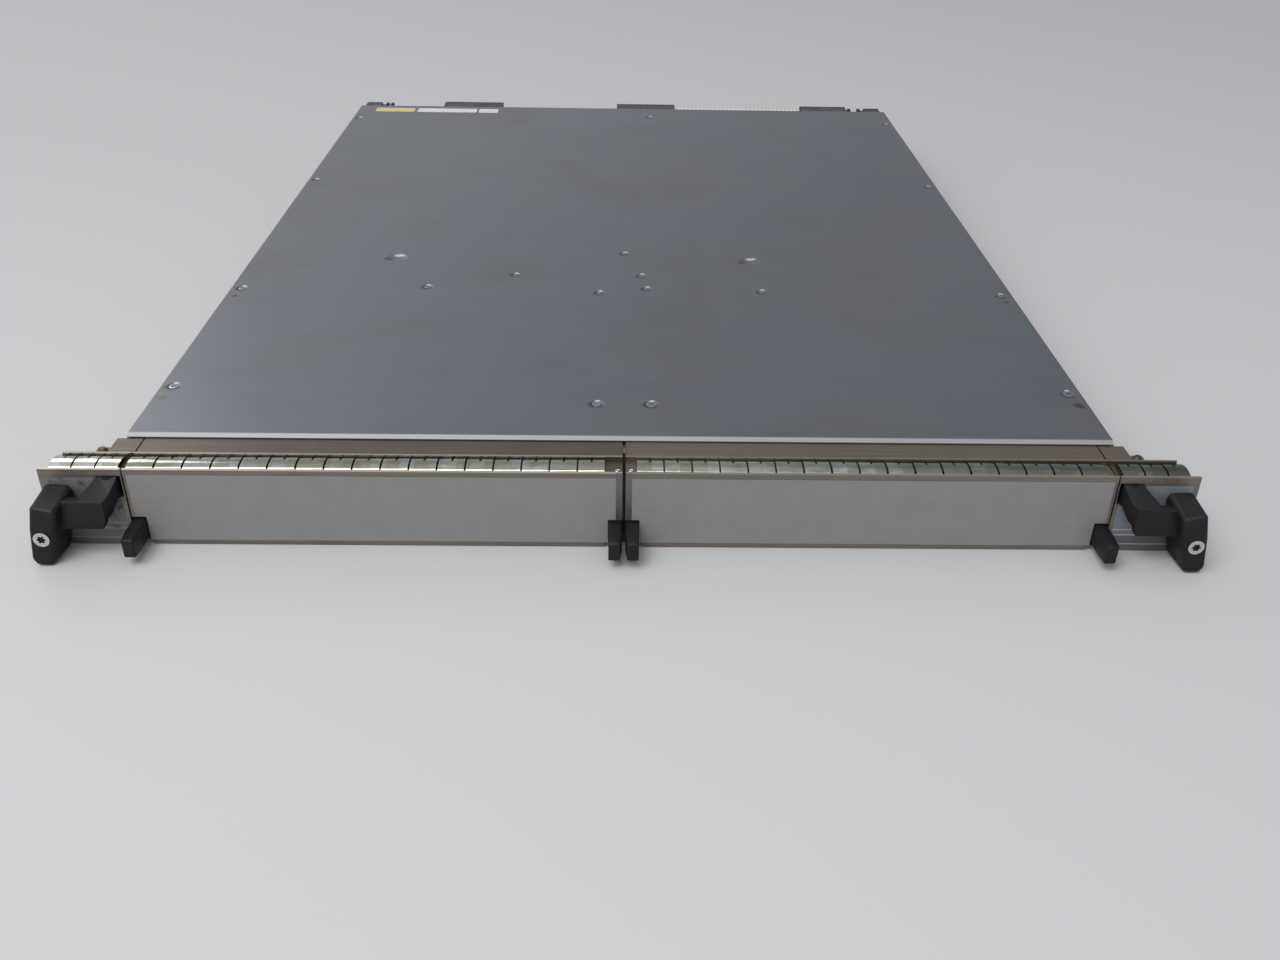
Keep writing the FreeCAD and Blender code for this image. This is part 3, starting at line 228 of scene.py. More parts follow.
# %% Rolled grain
GRAIN_HEIGHT = 0.00004
rolled, enter, leave = new_group(
    "rolled grain",
    [("Colour", "Color"), ("Streak Colour", "Color"), ("Stretch", "Vector"), ("Low Roughness", "Float"),
     ("High Roughness", "Float"), ("Relief", "Float")],
    [("Colour", "Color"), ("Roughness", "Float"), ("Normal", "Vector")])
stretched = compute(rolled, "MULTIPLY", on_object(rolled), enter["Stretch"], vectors=True)
streak = noise(rolled, Vector=stretched, Scale=1.0, Detail=4.0, Roughness=0.62)
mask = remap(rolled, streak, 0.32, 0.68, 0.0, 1.0)
feed(rolled, blend(rolled, mask, enter["Colour"], enter["Streak Colour"]), leave["Colour"])
feed(rolled, blend_numbers(rolled, mask, enter["Low Roughness"], enter["High Roughness"]),
     leave["Roughness"])
feed(rolled, bumped(rolled, GRAIN_HEIGHT, enter["Relief"], streak), leave["Normal"])
print("group", rolled.name)

# %% Soft stains
stains, enter, leave = new_group(
    "soft stains", [("Colour", "Color"), ("Stain Colour", "Color"), ("Scale", "Float"), ("Amount", "Float")],
    [("Colour", "Color")])
cloud = noise(stains, Vector=on_object(stains), Scale=enter["Scale"], Detail=5.0, Roughness=0.6)
mask = remap(stains, cloud, 0.48, 0.72, 0.0, 1.0, smooth=True)
weighted = compute(stains, "MULTIPLY", mask, enter["Amount"])
feed(stains, blend(stains, weighted, enter["Colour"], enter["Stain Colour"]), leave["Colour"])
print("group", stains.name)

# %% One spot at a place
spot, enter, leave = new_group(
    "one spot", [("Centre", "Vector"), ("Squash", "Vector"), ("Radius", "Float"), ("Ragged", "Float")],
    [("Mask", "Float")])
place = on_object(spot)
away = compute(spot, "SUBTRACT", place, enter["Centre"], vectors=True)
squashed = compute(spot, "MULTIPLY", away, enter["Squash"], vectors=True)
reach = compute(spot, "LENGTH", squashed, vectors=True)
share = compute(spot, "DIVIDE", reach, enter["Radius"])
edge = noise(spot, Vector=place, Scale=420.0, Detail=3.0)
wobble = compute(spot, "MULTIPLY_ADD", edge, enter["Ragged"], share)
feed(spot, remap(spot, wobble, 0.55, 1.1, 1.0, 0.0, smooth=True), leave["Mask"])
print("group", spot.name)

# %% Moulded texture
PEBBLE_HEIGHT = 0.00003
moulded, enter, leave = new_group(
    "moulded texture",
    [("Colour", "Color"), ("Worn Colour", "Color"), ("Low Roughness", "Float"), ("High Roughness", "Float"),
     ("Relief", "Float")],
    [("Colour", "Color"), ("Roughness", "Float"), ("Normal", "Vector")])
place = on_object(moulded)
pebble = noise(moulded, Vector=place, Scale=2600.0, Detail=3.0, Roughness=0.6)
handled = noise(moulded, Vector=place, Scale=120.0, Detail=4.0, Roughness=0.6)
mask = remap(moulded, handled, 0.35, 0.7, 0.0, 1.0, smooth=True)
feed(moulded, blend(moulded, mask, enter["Colour"], enter["Worn Colour"]), leave["Colour"])
feed(moulded, blend_numbers(moulded, mask, enter["High Roughness"], enter["Low Roughness"]),
     leave["Roughness"])
feed(moulded, bumped(moulded, PEBBLE_HEIGHT, enter["Relief"], pebble), leave["Normal"])
print("group", moulded.name)


# %% Helpers that place a group
def use(tree, group, **values):
    """Places a group in a material. Values are numbers, colours, vectors or sockets."""
    return add(tree, "ShaderNodeGroup", node_tree=group, **values).outputs


def stain(tree, colour, stain_colour, scale, amount):
    """A colour with soft clouds of another colour over it."""
    return use(tree, stains, Colour=colour, Stain_Colour=stain_colour, Scale=scale, Amount=amount)["Colour"]


def finish_shader(tree, shader, effect, colour=None):
    """Feeds a group's roughness and normal, and its colour or another one, to the shader."""
    feed(tree, colour or effect["Colour"], shader.inputs["Base Color"])
    feed(tree, effect["Roughness"], shader.inputs["Roughness"])
    feed(tree, effect["Normal"], shader.inputs["Normal"])


# %% [markdown]
# ## Sheet metal
# The tray is zinc-coated steel with a fine grain. The cover is the same steel under a thicker, bluer
# passivation: it is painted lighter toward the left wall as painted light from the window side, carries
# faint brown clouds, and has a rust spot or an olive one beside some screws. Every pressed dimple has a
# painted shade about it and a painted glint on its far slope, and the rolled front edge is painted bright
# as a painted highlight.

# %% Zinc sheet of the tray
zinc, tree, shader = new_material("zinc plated tray", Metallic=0.85)
grain = use(tree, rolled, Colour=(0.36, 0.37, 0.38), Streak_Colour=(0.29, 0.30, 0.31),
            Stretch=(60.0, 900.0, 900.0), Low_Roughness=0.34, High_Roughness=0.5, Relief=0.25)
finish_shader(tree, shader, grain, stain(tree, grain["Colour"], (0.24, 0.235, 0.225), 14.0, 0.55))
print("finish", zinc.name)

# %% Stains and painted light on the cover, as X, distance and radius
RUST_SPOTS = ((188.3, 57.0, 3.6), (-188.0, 164.0, 2.2), (187.5, 166.0, 1.8))
OLIVE_SPOTS = ((-188.5, 57.5, 3.4),)
COVER_SCREWS = ((188, 488.7, 1.3), (-188, 488.7, 1.3), (188, 346, 1.5), (-188, 346, 1.5), (187, 174, 1.8),
                (-187, 174, 1.8), (187.2, 68, 2.3), (-187.2, 68, 2.1), (11.2, 55.4, 2.1), (-11.2, 55.4, 2.0),
                (-11.8, 172.8, 1.6), (11.4, 178.5, 1.6), (9.1, 195.6, 1.5), (0.5, 226.4, 1.5),
                (-54.8, 195.2, 1.3), (-97, 178.2, 1.6), (68.4, 176.2, 1.6), (18.9, 500.4, 1.6))
PLAIN_DIMPLES = ((-118.4, 217.0), (66.0, 216.8))
# Painted shade beside each dimple, toward its near side, and a painted glint on its far slope; the rust and
# olive spots are real stains.
PAINTED_DIMPLE_SHADES = [(x - 0.7, y - 1.1, radius + 1.9) for x, y, radius in COVER_SCREWS]
PAINTED_DIMPLE_SHADES += [(x - 4.6, y - 1.6, 2.9) for x, y in PLAIN_DIMPLES]
PAINTED_DIMPLE_GLINTS = [(x + 0.2, y + radius + 0.7, 0.8) for x, y, radius in COVER_SCREWS]
PAINTED_DIMPLE_GLINTS += [(x + 0.6, y + 3.9, 1.7) for x, y in PLAIN_DIMPLES]
STAINS_AND_PAINTED_LIGHT = (
    (RUST_SPOTS, (0.075, 0.045, 0.032), 0.5, (1, 1, 0)),
    (OLIVE_SPOTS, (0.12, 0.115, 0.085), 0.5, (1, 1, 0)),
    (PAINTED_DIMPLE_SHADES, (0.062, 0.064, 0.072), 0.35, (0.85, 1, 0)),
    (PAINTED_DIMPLE_GLINTS, (0.50, 0.51, 0.53), 0.2, (0.5, 1.2, 0)))
print("marks", [len(row[0]) for row in STAINS_AND_PAINTED_LIGHT])

# %% Blue passivated cover
COVER_SIDE = 0.19
cover_paint, tree, shader = new_material("blue passivated cover", Metallic=0.75)
grain = use(tree, rolled, Colour=(0.145, 0.157, 0.173), Streak_Colour=(0.142, 0.154, 0.170),
            Stretch=(14.0, 60.0, 60.0), Low_Roughness=0.37, High_Roughness=0.40, Relief=0.0)
parts = axes(tree)
# Painted light: the cover is made lighter toward the left, the window side.
painted_light_from_left = remap(tree, parts["X"], COVER_SIDE, -COVER_SIDE, 0.0, 1.0, smooth=True)
tone = blend(tree, painted_light_from_left, (0.93, 0.95, 0.98), (1.02, 1.01, 1.01))
colour = blend(tree, 1.0, grain["Colour"], tone, "MULTIPLY")
colour = stain(tree, colour, (0.146, 0.139, 0.136), 11.0, 0.75)
colour = stain(tree, colour, (0.114, 0.121, 0.132), 24.0, 0.4)
for marks, mark_colour, ragged, squash in STAINS_AND_PAINTED_LIGHT:
    for mark_x, mark_y, mark_radius in marks:
        mark = use(tree, spot, Centre=at(mark_x, mark_y, 0), Squash=squash, Radius=mark_radius * MM,
                   Ragged=ragged)
        colour = blend(tree, mark["Mask"], colour, mark_colour)
# Painted highlight: the rolled front edge is made much brighter than the rest of the cover.
painted_edge_highlight = remap(tree, parts["Y"], back(28.9), back(28.0), 0.0, 1.0, smooth=True)
colour = blend(tree, painted_edge_highlight, colour, (0.36, 0.365, 0.38))
finish_shader(tree, shader, grain, colour)
print("finish", cover_paint.name)

# %% [markdown]
# The front plates are a warmer, browner plating whose grain runs along the front. Behind the lip the
# plating is darker, and more so on the left: a painted shade in the channel under the fingers, and a darker
# tone on the flange. The top of the lip is painted bright, partly rubbed metal and partly a painted
# highlight along its edge, and the plates are grey beside the middle seam.

# %% Warm plated front
front_paint, tree, shader = new_material("warm plated front", Metallic=0.8)
grain = use(tree, rolled, Colour=(0.245, 0.215, 0.178), Streak_Colour=(0.165, 0.142, 0.118),
            Stretch=(16.0, 2600.0, 2600.0), Low_Roughness=0.3, High_Roughness=0.46, Relief=0.35)
tarnished = stain(tree, grain["Colour"], (0.15, 0.12, 0.098), 30.0, 0.5)
parts = axes(tree)
right_half = remap(tree, parts["X"], -0.001, 0.002, 0.0, 1.0)
# Behind the lip the colour is darkened: a painted shade in the channel under the fingers, and a darker tone
# on the flange, more so on the left.
flange_and_channel_shade_tone = blend(tree, right_half, (0.56, 0.52, 0.50), (0.80, 0.76, 0.70))
flange_and_channel_shade_colour = blend(tree, 1.0, tarnished, flange_and_channel_shade_tone, "MULTIPLY")
behind_lip = remap(tree, parts["Y"], back(1.15), back(1.3), 0.0, 1.0)
colour = blend(tree, behind_lip, tarnished, flange_and_channel_shade_colour)
# The top of the lip is made bright: partly rubbed metal, partly a painted highlight along its edge.
lip_wear_and_highlight = remap(tree, parts["Z"], COVER_TOP - 0.35 * MM, COVER_TOP - 0.1 * MM, 0.0, 0.8)
lip_wear_and_highlight_colour = blend(tree, right_half, (0.50, 0.45, 0.37), (0.30, 0.275, 0.23))
colour = blend(tree, lip_wear_and_highlight, colour, lip_wear_and_highlight_colour)
from_seam = compute(tree, "ABSOLUTE", parts["X"])
seam_edge = remap(tree, from_seam, 3.2 * MM, 3.0 * MM, 0.0, 0.85)
seam_front = remap(tree, parts["Y"], back(0.3), back(0.1), 0.0, 1.0)
seam_mask = compute(tree, "MULTIPLY", seam_edge, seam_front)
finish_shader(tree, shader, grain, blend(tree, seam_mask, colour, (0.165, 0.16, 0.155)))
print("finish", front_paint.name)

# %% [markdown]
# ## The grey film on the blanks
# Each blank wears a printed grey film with a silk surface. Its tone is even, with a fine grain and a
# slight warmth on the left blank. A clear lacquer gives the soft sheen.

# %% Overlay film
film_paint, tree, shader = new_material("grey silk film", Coat_Roughness=0.45, Coat_Weight=0.12)
silk = use(tree, moulded, Colour=(0.19, 0.185, 0.178), Worn_Colour=(0.20, 0.195, 0.188),
           Low_Roughness=0.46, High_Roughness=0.58, Relief=0.12)
toward_right = remap(tree, axes(tree)["X"], -0.05, 0.05, 0.0, 1.0)
tone = blend(tree, toward_right, (1.0, 1.0, 0.98), (1.0, 0.985, 1.05))
finish_shader(tree, shader, silk, blend(tree, 1.0, silk["Colour"], tone, "MULTIPLY"))
print("finish", film_paint.name)

# %% [markdown]
# ## Spring fingers
# The gasket is bright tinned spring copper. Every finger is bent a little differently, so each mirrors
# another part of the room, and the tin is yellowed in places. A cell number from the finger's place
# picks its tint, partly yellowed tin and partly a painted reflection, a stretched noise puts creases of
# painted darker reflection in it, and a ramp along the whole front paints the reflections dimmer toward
# the right, brightest on the left end strip.

# %% Tinned fingers
PITCH = 10.47
STRIP_END = 213.4
PAINTED_REFLECTION_STOPS = ((0.062, 1.0), (0.066, 0.62), (0.3, 0.74), (0.62, 0.9), (0.86, 0.5))
finger_paint, tree, shader = new_material("tinned spring fingers", Metallic=1.0)
along = axes(tree)["X"]
cell_number = compute(tree, "FLOOR", compute(tree, "DIVIDE", along, PITCH * MM / 2))
chance = add(tree, "ShaderNodeTexWhiteNoise", noise_dimensions="1D", W=cell_number)
# The tint of each finger: partly yellowed tin, partly a painted reflection that differs from finger to
# finger.
tin_and_painted_reflection_tint = ramp(tree, chance.outputs["Value"], (0.40, 0.385, 0.30), (0.66, 0.66, 0.63),
            [(0.5, (0.46, 0.47, 0.42))])
# Darker streaks: creases of painted reflection.
creases_and_painted_reflection = use(tree, rolled, Colour=tin_and_painted_reflection_tint, Streak_Colour=(0.34, 0.335, 0.285),
              Stretch=(150.0, 420.0, 420.0), Low_Roughness=0.08, High_Roughness=0.16, Relief=0.6)
patched = stain(tree, creases_and_painted_reflection["Colour"], (0.22, 0.215, 0.165), 160.0, 0.5)
share = remap(tree, along, -STRIP_END * MM, STRIP_END * MM, 0.0, 1.0)
# Painted reflection: brightest on the left end strip, dimmer toward the right.
shade = ramp(tree, share, (1.0, 1.0, 1.0), (0.30, 0.30, 0.28),
             [(place, (level, level, level)) for place, level in PAINTED_REFLECTION_STOPS])
finish_shader(tree, shader, creases_and_painted_reflection, blend(tree, 1.0, patched, shade, "MULTIPLY"))
print("finish", finger_paint.name)

# %% [markdown]
# ## Plastics, board and the small metals
# The levers and tabs are moulded in black nylon with a spark-eroded skin. The connectors are a harder
# black, the comb is a pale natural plastic, the board is green solder resist, and the heat sinks are
# drawn aluminium.

# %% Moulded plastics
def plastic(name, colour, worn_colour, low, high, relief_strength):
    """A moulded plastic with its own colours, shine and grain."""
    made, tree, shader = new_material(name, Specular_IOR_Level=0.28)
    skin = use(tree, moulded, Colour=colour, Worn_Colour=worn_colour, Low_Roughness=low,
               High_Roughness=high, Relief=relief_strength)
    finish_shader(tree, shader, skin)
    print("finish", name)
    return made


nylon = plastic("black nylon", (0.006, 0.0052, 0.0066), (0.0085, 0.0075, 0.0092), 0.42, 0.56, 0.5)
hard_black = plastic("hard black resin", (0.032, 0.032, 0.036), (0.045, 0.045, 0.05), 0.38, 0.52, 0.25)
natural = plastic("natural resin", (0.66, 0.63, 0.55), (0.72, 0.70, 0.64), 0.42, 0.55, 0.2)
# The socket finish is near black: a painted shadow inside the screw sockets.
painted_socket_shadow = plastic("socket shadow", (0.012, 0.012, 0.014), (0.02, 0.02, 0.022), 0.5, 0.6, 0.2)

# %% Small metals
def small_metal(name, colour, streak_colour, stretch, low, high, relief_strength):
    """A bare metal with a drawn or turned grain."""
    made, tree, shader = new_material(name, Metallic=1.0)
    grain = use(tree, rolled, Colour=colour, Streak_Colour=streak_colour, Stretch=stretch,
                Low_Roughness=low, High_Roughness=high, Relief=relief_strength)
    finish_shader(tree, shader, grain)
    print("finish", name)
    return made


bright_steel = small_metal("bright plated steel", (0.72, 0.72, 0.70), (0.55, 0.55, 0.54),
                           (900.0, 900.0, 900.0), 0.2, 0.34, 0.3)
drawn_aluminium = small_metal("drawn aluminium", (0.62, 0.63, 0.65), (0.5, 0.51, 0.53),
                              (900.0, 60.0, 900.0), 0.28, 0.42, 0.4)
brown_rivet = small_metal("tarnished rivet", (0.11, 0.095, 0.078), (0.07, 0.06, 0.05),
                          (700.0, 700.0, 700.0), 0.34, 0.5, 0.3)

# %% Green board
board_paint, tree, shader = new_material("green solder resist", Coat_Weight=0.3, Coat_Roughness=0.2)
skin = use(tree, moulded, Colour=(0.018, 0.09, 0.05), Worn_Colour=(0.022, 0.105, 0.058),
           Low_Roughness=0.3, High_Roughness=0.42, Relief=0.1)
tracks = add(tree, "ShaderNodeTexBrick", Vector=on_object(tree), Scale=55.0, Mortar_Size=0.012, offset=0.37)
track_mask = remap(tree, tracks.outputs["Fac"], 0.2, 0.9, 0.0, 0.5)
finish_shader(tree, shader, skin, blend(tree, track_mask, skin["Colour"], (0.05, 0.19, 0.10)))
print("finish", board_paint.name)

# %% Assign a finish to every node
FINISHES = {
    "zinc_sheet": zinc, "cover_sheet": cover_paint, "front_metal": front_paint,
    "overlay_film": film_paint, "finger_stock": finger_paint, "black_moulding": nylon,
    "plated_steel": bright_steel, "connector_plastic": hard_black, "pale_plastic": natural,
    "board": board_paint, "sink_aluminium": drawn_aluminium,
}
slots = {row["node"]: row["material_slot"] for row in frame["record"]["subparts"]}
for node_name, node in frame["nodes"].items():
    chosen = brown_rivet if node_name.startswith("end_rivet") else FINISHES[slots[node_name]]
    if len(node.material_slots) == 0:
        node.data.materials.append(chosen)
    for slot_place in node.material_slots:
        slot_place.material = chosen
print("dressed", len(slots), "nodes with", len(FINISHES), "finishes")

# %% [markdown]
# ## How a piece is modelled
# The operators work as by hand: a primitive is added, edit mode is entered, some faces or edges are
# chosen, and they are extruded, inset, bevelled or moved. The helpers below only choose things by
# their place, and put a finished piece at the origin with its name, body and finish.

# %% Helpers for modelling
FACING_FRONT = (math.radians(90), 0, 0)


def fresh():
    """Object mode with nothing selected, so that an operator meets only what it makes."""
    if bpy.context.mode != "OBJECT":
        bpy.ops.object.mode_set(mode="OBJECT")
    bpy.ops.object.select_all(action="DESELECT")


def pick(piece):
    """Object mode with only this piece chosen."""
    fresh()
    piece.select_set(True)
    bpy.context.view_layer.objects.active = piece


def edit(piece, kind="FACE"):
    """Edit mode on one piece, with nothing chosen."""
    pick(piece)
    bpy.ops.object.mode_set(mode="EDIT")
    bpy.ops.mesh.select_mode(type=kind)
    bpy.ops.mesh.select_all(action="DESELECT")


def choose_all():
    """Chooses the whole mesh in edit mode."""
    bpy.ops.mesh.select_all(action="SELECT")


def choose(piece, elements, passes):
    """Chooses only the faces, edges or corners that pass a test."""
    mesh = bmesh.from_edit_mesh(piece.data)
    bpy.ops.mesh.select_all(action="DESELECT")
    for element in [element for element in getattr(mesh, elements) if passes(element)]:
        element.select_set(True)
    bmesh.update_edit_mesh(piece.data)


def choose_faces(piece, test):
    """Chooses the faces whose middle and normal pass a test."""
    choose(piece, "faces", lambda face: test(face.calc_center_median(), face.normal))


def choose_edges(piece, test):
    """Chooses the edges whose two ends pass a test."""
    choose(piece, "edges", lambda edge: test(edge.verts[0].co, edge.verts[1].co))


def choose_corners(piece, test):
    """Chooses the vertices that pass a test."""
    choose(piece, "verts", lambda corner: test(corner.co))


def extrude(step):
    """Extrudes what is chosen by a step."""
    bpy.ops.mesh.extrude_region_move(TRANSFORM_OT_translate={"value": step})


def applied():
    """The piece just added, with its place, turn and size worked into its mesh."""
    bpy.ops.object.transform_apply(location=True, rotation=True, scale=True)
    return bpy.context.object


def modify(piece, kind, **settings):
    """Adds a modifier and applies it."""
    pick(piece)
    modifier = piece.modifiers.new("step", kind)
    for name, value in settings.items():
        setattr(modifier, name, value)
    bpy.ops.object.modifier_apply(modifier=modifier.name)


def roll_over(piece, width, segments, least_angle):
    """Bevels the edges of a piece where its faces turn by more than an angle."""
    modify(piece, "BEVEL", width=width * MM, segments=segments, limit_method="ANGLE",
           angle_limit=math.radians(least_angle), use_clamp_overlap=True)


def discard(piece):
    """Removes a piece that was only a tool or a model for others."""
    fresh()
    bpy.data.objects.remove(piece)


def carve(piece, cutter):
    """Cuts one piece out of another, and removes the cutter."""
    modify(piece, "BOOLEAN", object=cutter, operation="DIFFERENCE", solver="EXACT")
    discard(cutter)


def settle(piece, name, body, slot, finish=None, angle=35):
    """Puts a finished piece in place: origin, shading, name, body and finish, taken from its slot when none
    is given.
    """
    pick(piece)
    applied()
    bpy.ops.object.shade_smooth_by_angle(angle=math.radians(angle))
    piece.name = name
    piece.data.name = name
    if len(piece.data.materials) == 0:
        piece.data.materials.append(finish or FINISHES[slot])
    elif finish is not None:
        piece.data.materials[0] = finish
    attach(piece, body)
    print(name, "on", body, len(piece.data.polygons), "faces")


def copy_of(piece):
    """A copy with its own mesh."""
    pick(piece)
    bpy.ops.object.duplicate(linked=False)
    return bpy.context.object


def joined(pieces):
    """One mesh out of several pieces."""
    fresh()
    for piece in pieces:
        piece.select_set(True)
    bpy.context.view_layer.objects.active = pieces[0]
    bpy.ops.object.join()
    return bpy.context.object


def block(low, high, cuts=1):
    """A block between two corners, cut across X into equal parts, left in edit mode."""
    fresh()
    bpy.ops.mesh.primitive_cube_add(size=1.0, location=(low + high) / 2)
    bpy.context.object.scale = tuple(high - low)
    made = applied()
    edit(made)
    for index in range(1, cuts):
        choose_all()
        cut_x = low.x + (high.x - low.x) * index / cuts
        bpy.ops.mesh.bisect(plane_co=(cut_x, 0, 0), plane_no=(1, 0, 0))
    return made


# %% [markdown]
# ## The finger gaskets
# A finger gasket is one strip of thin spring stock, rolled over into a flat C. It is cut right
# through between pairs of fingers, and each pair has a notch from the free edge. A strip could be cut
# from one sheet with booleans, but the fingers repeat, so one pair is extruded along its bent section,
# split down the middle, given its thickness, and copied. Each copy is then tipped by a fraction of a
# degree, because real fingers never lie quite alike, and that breaks up their reflections, together
# with the painted reflection in their finish.

# %% One pair of fingers
SECTION = ((2.9, 31.35), (2.45, 31.5), (2.3, 31.9), (2.5, 32.35), (3.2, 32.72), (4.4, 33.0), (6.0, 33.16),
           (7.8, 33.14), (9.3, 32.88), (10.7, 32.46), (12.0, 31.96))
STOCK = 0.12
CUT_BESIDE_NOTCH = 0.38


def finger_pair(width):
    """One pair of fingers, centred on X = 0, with a notch from its free edge."""
    fresh()
    bpy.ops.mesh.primitive_plane_add(size=MM, location=at(0, 4.15, 31.4))
    pair = bpy.context.object
    edit(pair, "EDGE")
    choose_all()
    bpy.ops.transform.resize(value=(width, 2.5, 1.0))
    choose_edges(pair, lambda a, b: a.y < 0 and b.y < 0)
    for (last_y, last_z), (next_y, next_z) in zip(SECTION, SECTION[1:]):
        extrude((0, (next_y - last_y) * MM, (next_z - last_z) * MM))
    for side in (-CUT_BESIDE_NOTCH, CUT_BESIDE_NOTCH):
        choose_all()
        bpy.ops.mesh.bisect(plane_co=at(side, 0, 0), plane_no=(1, 0, 0))
    bpy.ops.mesh.select_mode(type="FACE")

    def in_notch(middle, normal):
        """Whether a face lies in the slit between the two fingers."""
        place = pair.matrix_world @ middle
        return abs(place.x) < 0.3 * MM and place.y > back(7.9) and place.z > 31.8 * MM

    choose_faces(pair, in_notch)
    bpy.ops.mesh.delete(type="FACE")
    modify(pair, "SOLIDIFY", thickness=STOCK * MM, offset=0.0)
    edit(pair)
    choose_all()
    bpy.ops.mesh.normals_make_consistent(inside=False)
    fresh()
    print("pair of fingers", len(pair.data.polygons), "faces")
    return pair


# %% Strips of fingers
GAP_BETWEEN_PAIRS = 0.7
SIDE_TIP, FORWARD_TIP = 0.7, 0.4


def finger_strip(name, body, start, finish, replaced):
    """A strip of finger pairs from one X to another, each tipped a little."""
    count = max(1, round((finish - start) / PITCH))
    pitch = (finish - start) / count
    model = finger_pair(pitch - GAP_BETWEEN_PAIRS)
    pairs = []
    for index in range(count):
        middle = start + (index + 0.5) * pitch
        pairs.append(copy_of(model))
        bpy.ops.transform.translate(value=(middle * MM, 0, 0))
        centre = at(middle, 3.0, 32.4)
        sideways = math.radians(SIDE_TIP * math.sin(2.4 * middle))
        forward = math.radians(FORWARD_TIP * math.sin(1.7 * middle + 1))
        bpy.ops.transform.rotate(value=sideways, orient_axis="Y", center_override=centre)
        bpy.ops.transform.rotate(value=forward, orient_axis="X", center_override=centre)
    strip = joined(pairs)
    discard(model)
    settle(strip, name, body, "finger_stock", angle=60)
    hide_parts(replaced)


finger_strip("fingers_blank_left", "blank_left", -185.0, -7.0, "gasket_blank_left")
finger_strip("fingers_blank_right", "blank_right", 4.5, 182.5, "gasket_blank_right")
finger_strip("fingers_end_left", "card", -STRIP_END, -187.2, "gasket_end_left")
finger_strip("fingers_end_right", "card", 187.2, STRIP_END, "gasket_end_right")

# %% [markdown]
# ## Rounded mouldings
# The construction model has the levers and tabs with sharp edges, and a moulding is never sharp. Each
# arm and each tab gets a rounded copy that stands for it: its loose triangles are merged and dissolved
# into clean faces, and a bevel rolls the edges over.

# %% Rounded copies
def clean_copy(node_name, flat_within=4):
    """A copy of a solid with its triangles merged into clean faces."""
    copy = copy_of(frame["nodes"][node_name])
    copy.parent = None
    edit(copy, "VERT")
    choose_all()
    bpy.ops.mesh.remove_doubles(threshold=0.01 * MM)
    bpy.ops.mesh.dissolve_limited(angle_limit=math.radians(flat_within))
    fresh()
    return copy


def rounded_copy(node_name, name, body, width):
    """A clean copy with its edges rolled over, which stands for the solid."""
    copy = clean_copy(node_name)
    roll_over(copy, width, 3, 30)
    settle(copy, name, body, "black_moulding", nylon, angle=40)
    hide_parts(node_name)


for side_name in SIDES:
    rounded_copy(f"ejector_arm_{side_name}", f"arm_{side_name}", f"lever_{side_name}", 0.6)
    for tab_place in ("inner", "outer"):
        rounded_copy(f"tab_tip_{side_name}_{tab_place}", f"tab_{side_name}_{tab_place}",
                     f"tab_{side_name}_{tab_place}", 0.7)

# %% [markdown]
# The grips have much softer edges than the rest. Their pocket for the arm does not show, so the hull of
# the solid gives a clean lozenge that can be rolled over by more than a millimetre. The seat of the
# screw is then cut into it with a cylinder.

# %% Grips
SEAT_DEPTH = 1.1
SEAT_CLEARANCE = 0.12


def soft_grip(side_name):
    """The grip of a lever as a softly rounded lozenge with a seat for its screw."""
    grip = clean_copy(f"ejector_grip_{side_name}")
    edit(grip, "VERT")
    choose_all()
    bpy.ops.mesh.convex_hull()
    choose_all()
    bpy.ops.mesh.dissolve_limited(angle_limit=math.radians(5))
    choose_all()
    bpy.ops.mesh.remove_doubles(threshold=1.6 * MM)
    roll_over(grip, 1.4, 5, 16)
    low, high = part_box(f"ejector_screw_{side_name}")
    middle = (low + high) / 2
    seat_place = (middle.x, low.y - SEAT_DEPTH * MM, middle.z)
    fresh()
    bpy.ops.mesh.primitive_cylinder_add(vertices=32, radius=(high.x - low.x) / 2 + SEAT_CLEARANCE * MM,
                                        depth=4 * SEAT_DEPTH * MM, location=seat_place,
                                        rotation=FACING_FRONT)
    carve(grip, applied())
    settle(grip, f"grip_{side_name}", f"lever_{side_name}", "black_moulding", nylon, angle=32)
    modify(grip, "WEIGHTED_NORMAL", keep_sharp=True)
    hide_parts(f"ejector_grip_{side_name}")


for side_name in SIDES:
    soft_grip(side_name)

# %% [markdown]
# ## The grip screws
# Each grip is held by a button screw with a six-lobed socket, and only its bright rim and dark socket
# show. A short cylinder is inset and sunk for the socket, and every second corner of the inner ring is
# pulled in to make the lobes. The sunk faces get a near-black finish, a painted shadow in the socket.

# %% Grip screws
SOCKET_SHARE = 0.56


